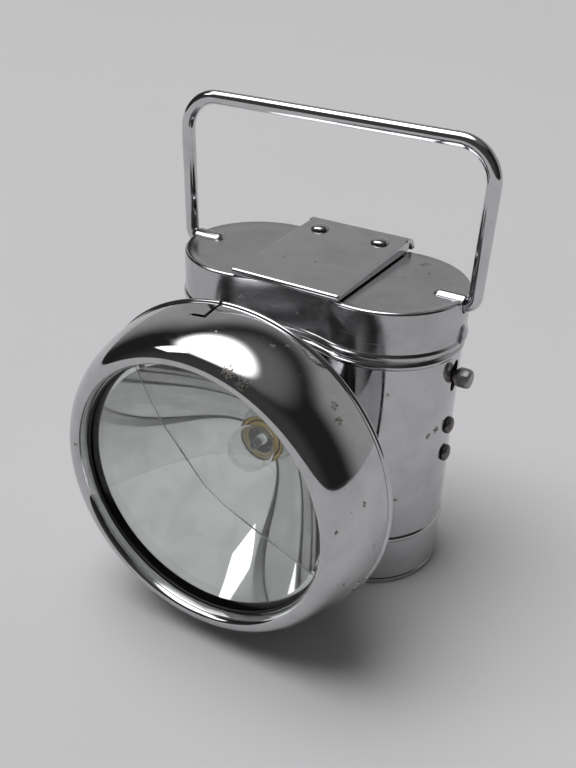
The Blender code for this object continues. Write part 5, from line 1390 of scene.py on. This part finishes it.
@dataclass
class Studio:
    """Wide pale table, one weak lamp, the room's light and the camera of the photograph."""

    camera_place: tuple[float, float, float] = (0.095637, -0.18222, 0.158192)
    yaw: float = math.radians(29.751)
    pitch: float = math.radians(-29.561)
    roll: float = math.radians(2.035)
    lens: float = 43.517
    ground: Colour = (0.60, 0.60, 0.605)
    fill: SoftBox = SoftBox("fill", (-0.9, -0.5, 0.9), (0.0, 0.0, 0.04), (0.35, 0.35), 1.2)
    overhead: tuple[float, float, float] = (-0.298, -0.080, 0.951)
    overhead_light: float = 5.2
    rear_light: float = 0.36
    front_light: float = 0.04
    ceiling_light: float = 0.16
    least_light: float = 0.02

    def build(self) -> None:
        """Set up floor, lamp, world and camera."""
        self.floor()
        self.fill.light()
        self.world()
        self.camera()
        bpy.context.scene.view_settings.view_transform = "Standard"

    def floor(self) -> None:
        """Lay the pale table, wide enough to fill every view."""
        made = bmesh.new()
        bmesh.ops.create_grid(made, x_segments=8, y_segments=8, size=4.0)
        sweep = to_object("paper_sweep", made)
        sweep.data.shade_smooth()
        paint = Painter("pale_paper")
        cloud = paint.noise(0.12, 2.0)
        paint.feed("Base Color", paint.mix(cloud, self.ground, tuple(0.97 * part for part in self.ground)))
        paint.feed("Roughness", 0.85)
        paint.feed("Specular IOR Level", 0.2)
        sweep.data.materials.append(paint.material)

    def world(self) -> None:
        """Light the room: a lamp overhead, grey behind and dark where the photographer stood.

        The dark side is what the plating mirrors in the photograph. The camera itself sees the table's
        colour past the table's edge.
        """
        world = bpy.data.worlds.new("room")
        bpy.context.scene.world = world
        world.use_nodes = True
        tree = world.node_tree
        place = add_node(tree, "ShaderNodeTexCoord", {}, {}, "Generated")
        up = add_node(tree, "ShaderNodeSeparateXYZ", {}, {0: place}, "Z")
        ahead = add_node(tree, "ShaderNodeSeparateXYZ", {}, {0: place}, "Y")
        glow = add_node(tree, "ShaderNodeVectorMath", {"operation": "DOT_PRODUCT"},
                        {0: place, 1: self.overhead}, "Value").ramp(0.86, 0.965) ** 1.5
        rear = ahead.ramp(0.2, 0.6) * up.ramp(0.8, 0.6) * self.rear_light
        front = (0.0 - ahead).ramp(0.2, 0.8) * self.front_light
        ceiling = up.ramp(0.75, 0.95) * self.ceiling_light
        room = glow * self.overhead_light + rear + front + ceiling + self.least_light
        path = tree.nodes.new("ShaderNodeLightPath")
        through = Signal(tree, path.outputs["Is Transmission Ray"])
        seen = Signal(tree, path.outputs["Is Camera Ray"]).larger(through)
        level = room * (1.0 - seen) + self.ground[0] * seen
        shade = tree.nodes["Background"]
        colour = add_node(tree, "ShaderNodeCombineColor", {}, {0: level, 1: level, 2: level * 1.01})
        tree.links.new(colour.socket, shade.inputs["Color"])

    def camera(self) -> None:
        """Set the camera where the photograph was taken."""
        forward = Vector((-math.sin(self.yaw) * math.cos(self.pitch),
                          math.cos(self.yaw) * math.cos(self.pitch), math.sin(self.pitch)))
        right = Vector((math.cos(self.yaw), math.sin(self.yaw), 0.0))
        up = right.cross(forward)
        across = math.cos(self.roll) * right + math.sin(self.roll) * up
        upward = math.cos(self.roll) * up - math.sin(self.roll) * right
        data = bpy.data.cameras.new("camera")
        data.lens = self.lens
        data.sensor_width = 36.0
        data.clip_start = 0.01
        item = new_object("camera", data)
        turn = Matrix((across, upward, -forward)).transposed().to_4x4()
        item.matrix_world = Matrix.Translation(Vector(self.camera_place)) @ turn
        bpy.context.scene.camera = item


def blots(*rows: tuple[float, float, float, float, float]) -> tuple[Blot, ...]:
    """Return the stains of rows that hold a place and a reach in millimetres and a cover."""
    return tuple(Blot((x * MM, y * MM, z * MM), reach * MM, cover) for x, y, z, reach, cover in rows)


CASE_BLOTS = blots(
    (34.7, -5.5, 43.2, 1.5, 0.5), (33.9, -7.8, 42.4, 1.3, 0.5), (35.2, -3.2, 44.2, 1.2, 0.4),
    (26.3, -16.0, 54.9, 1.0, 0.3), (29.7, -13.5, 25.9, 1.0, 0.3),
)
LID_BLOTS = blots(
    (13.1, 15.9, 75.0, 3.0, 0.4), (20.3, 13.2, 75.0, 2.2, 0.5), (15.2, 0.7, 75.0, 0.9, 0.6),
    (19.7, 3.1, 75.0, 0.8, 0.6), (23.5, 8.7, 75.0, 0.9, 0.6),
)
STRAP_BLOTS = blots((-6.7, -6.7, 77.0, 1.0, 0.4), (0.6, -5.3, 77.0, 0.6, 0.8))
BEZEL_BLOTS = blots(
    (8.8, -53.7, 72.8, 2.6, 0.3), (12.3, -54.0, 71.3, 2.6, 0.3), (27.2, -43.8, 66.3, 1.7, 0.4),
    (28.8, -45.2, 64.1, 1.7, 0.4), (13.0, -44.1, 75.3, 1.0, 0.4), (15.0, -41.7, 74.8, 0.9, 0.4),
    (4.5, -40.7, 77.7, 1.2, 0.1), (36.5, -47.0, 48.4, 1.2, 0.5), (34.0, -53.6, 45.0, 1.0, 0.4),
    (38.0, -43.7, 36.5, 2.4, 0.05), (35.0, -50.8, 30.2, 2.8, 0.05), (-31.3, -54.9, 42.1, 1.6, 0.1),
)
FINISHES = (
    ChromeFinish("case_chrome", (0.56, 0.56, 0.57), haze=0.22, pit_share=0.34, blots=CASE_BLOTS,
                 rust=(0.05, 0.03, 0.018)),
    ChromeFinish("lid_chrome", (0.52, 0.52, 0.53), 0.16, 0.2, blots=LID_BLOTS),
    ChromeFinish("strap_chrome", (0.56, 0.56, 0.57), 0.14, 0.18, blots=STRAP_BLOTS),
    ChromeFinish("wire_chrome", gloss=0.07, haze=0.1, pit_share=0.12),
    ChromeFinish("bezel_chrome", (0.58, 0.58, 0.59), 0.04, 0.14, 0.4, BEZEL_BLOTS),
    ChromeFinish("silver", (0.72, 0.72, 0.71), 0.04, 0.07, 0.08),
    SteelFinish("plated_steel", (0.46, 0.46, 0.45), 0.3, 0.15),
    SteelFinish("dull_steel", (0.42, 0.415, 0.40), 0.34, 0.25),
    SteelFinish("dark_rivet", (0.20, 0.19, 0.18), 0.3, 0.3),
    SteelFinish("brass", (0.62, 0.44, 0.16), 0.24, 0.1, (0.2, 0.12, 0.05)),
    PlainFinish("black_rubber", (0.012, 0.012, 0.012), (0.03, 0.03, 0.03), 0.55, 0.4 * MM),
    PlainFinish("fibre", (0.16, 0.05, 0.03), (0.09, 0.03, 0.02), 0.6, 0.3 * MM),
    PlainFinish("insulation", (0.03, 0.03, 0.03), (0.06, 0.06, 0.06), 0.5, 0.3 * MM),
    PlainFinish("cell_jacket", (0.05, 0.09, 0.24), (0.03, 0.06, 0.17), 0.4, 1.2 * MM),
    GlassFinish("lens_glass"),
    GlassFinish("bulb_glass", dust=0.02),
    CrackFinish("crack_light"),
)


def main() -> None:
    """Build the lamp, dress the nodes that are carried over and set up the studio."""
    logging.basicConfig(level=logging.INFO, format="%(message)s")
    shop = Workshop()
    shop.dress_carried_nodes()
    plan = LobedPlan(17.1 * MM, 18.5 * MM, 2.9 * MM)
    parts = (Case(shop, plan), Lid(shop, plan), Bail(shop), LampHead(shop), Switch(shop), HingeRivets(shop))
    for part in parts:
        part.build()
    Studio().build()


if __name__ == "__main__":
    main()
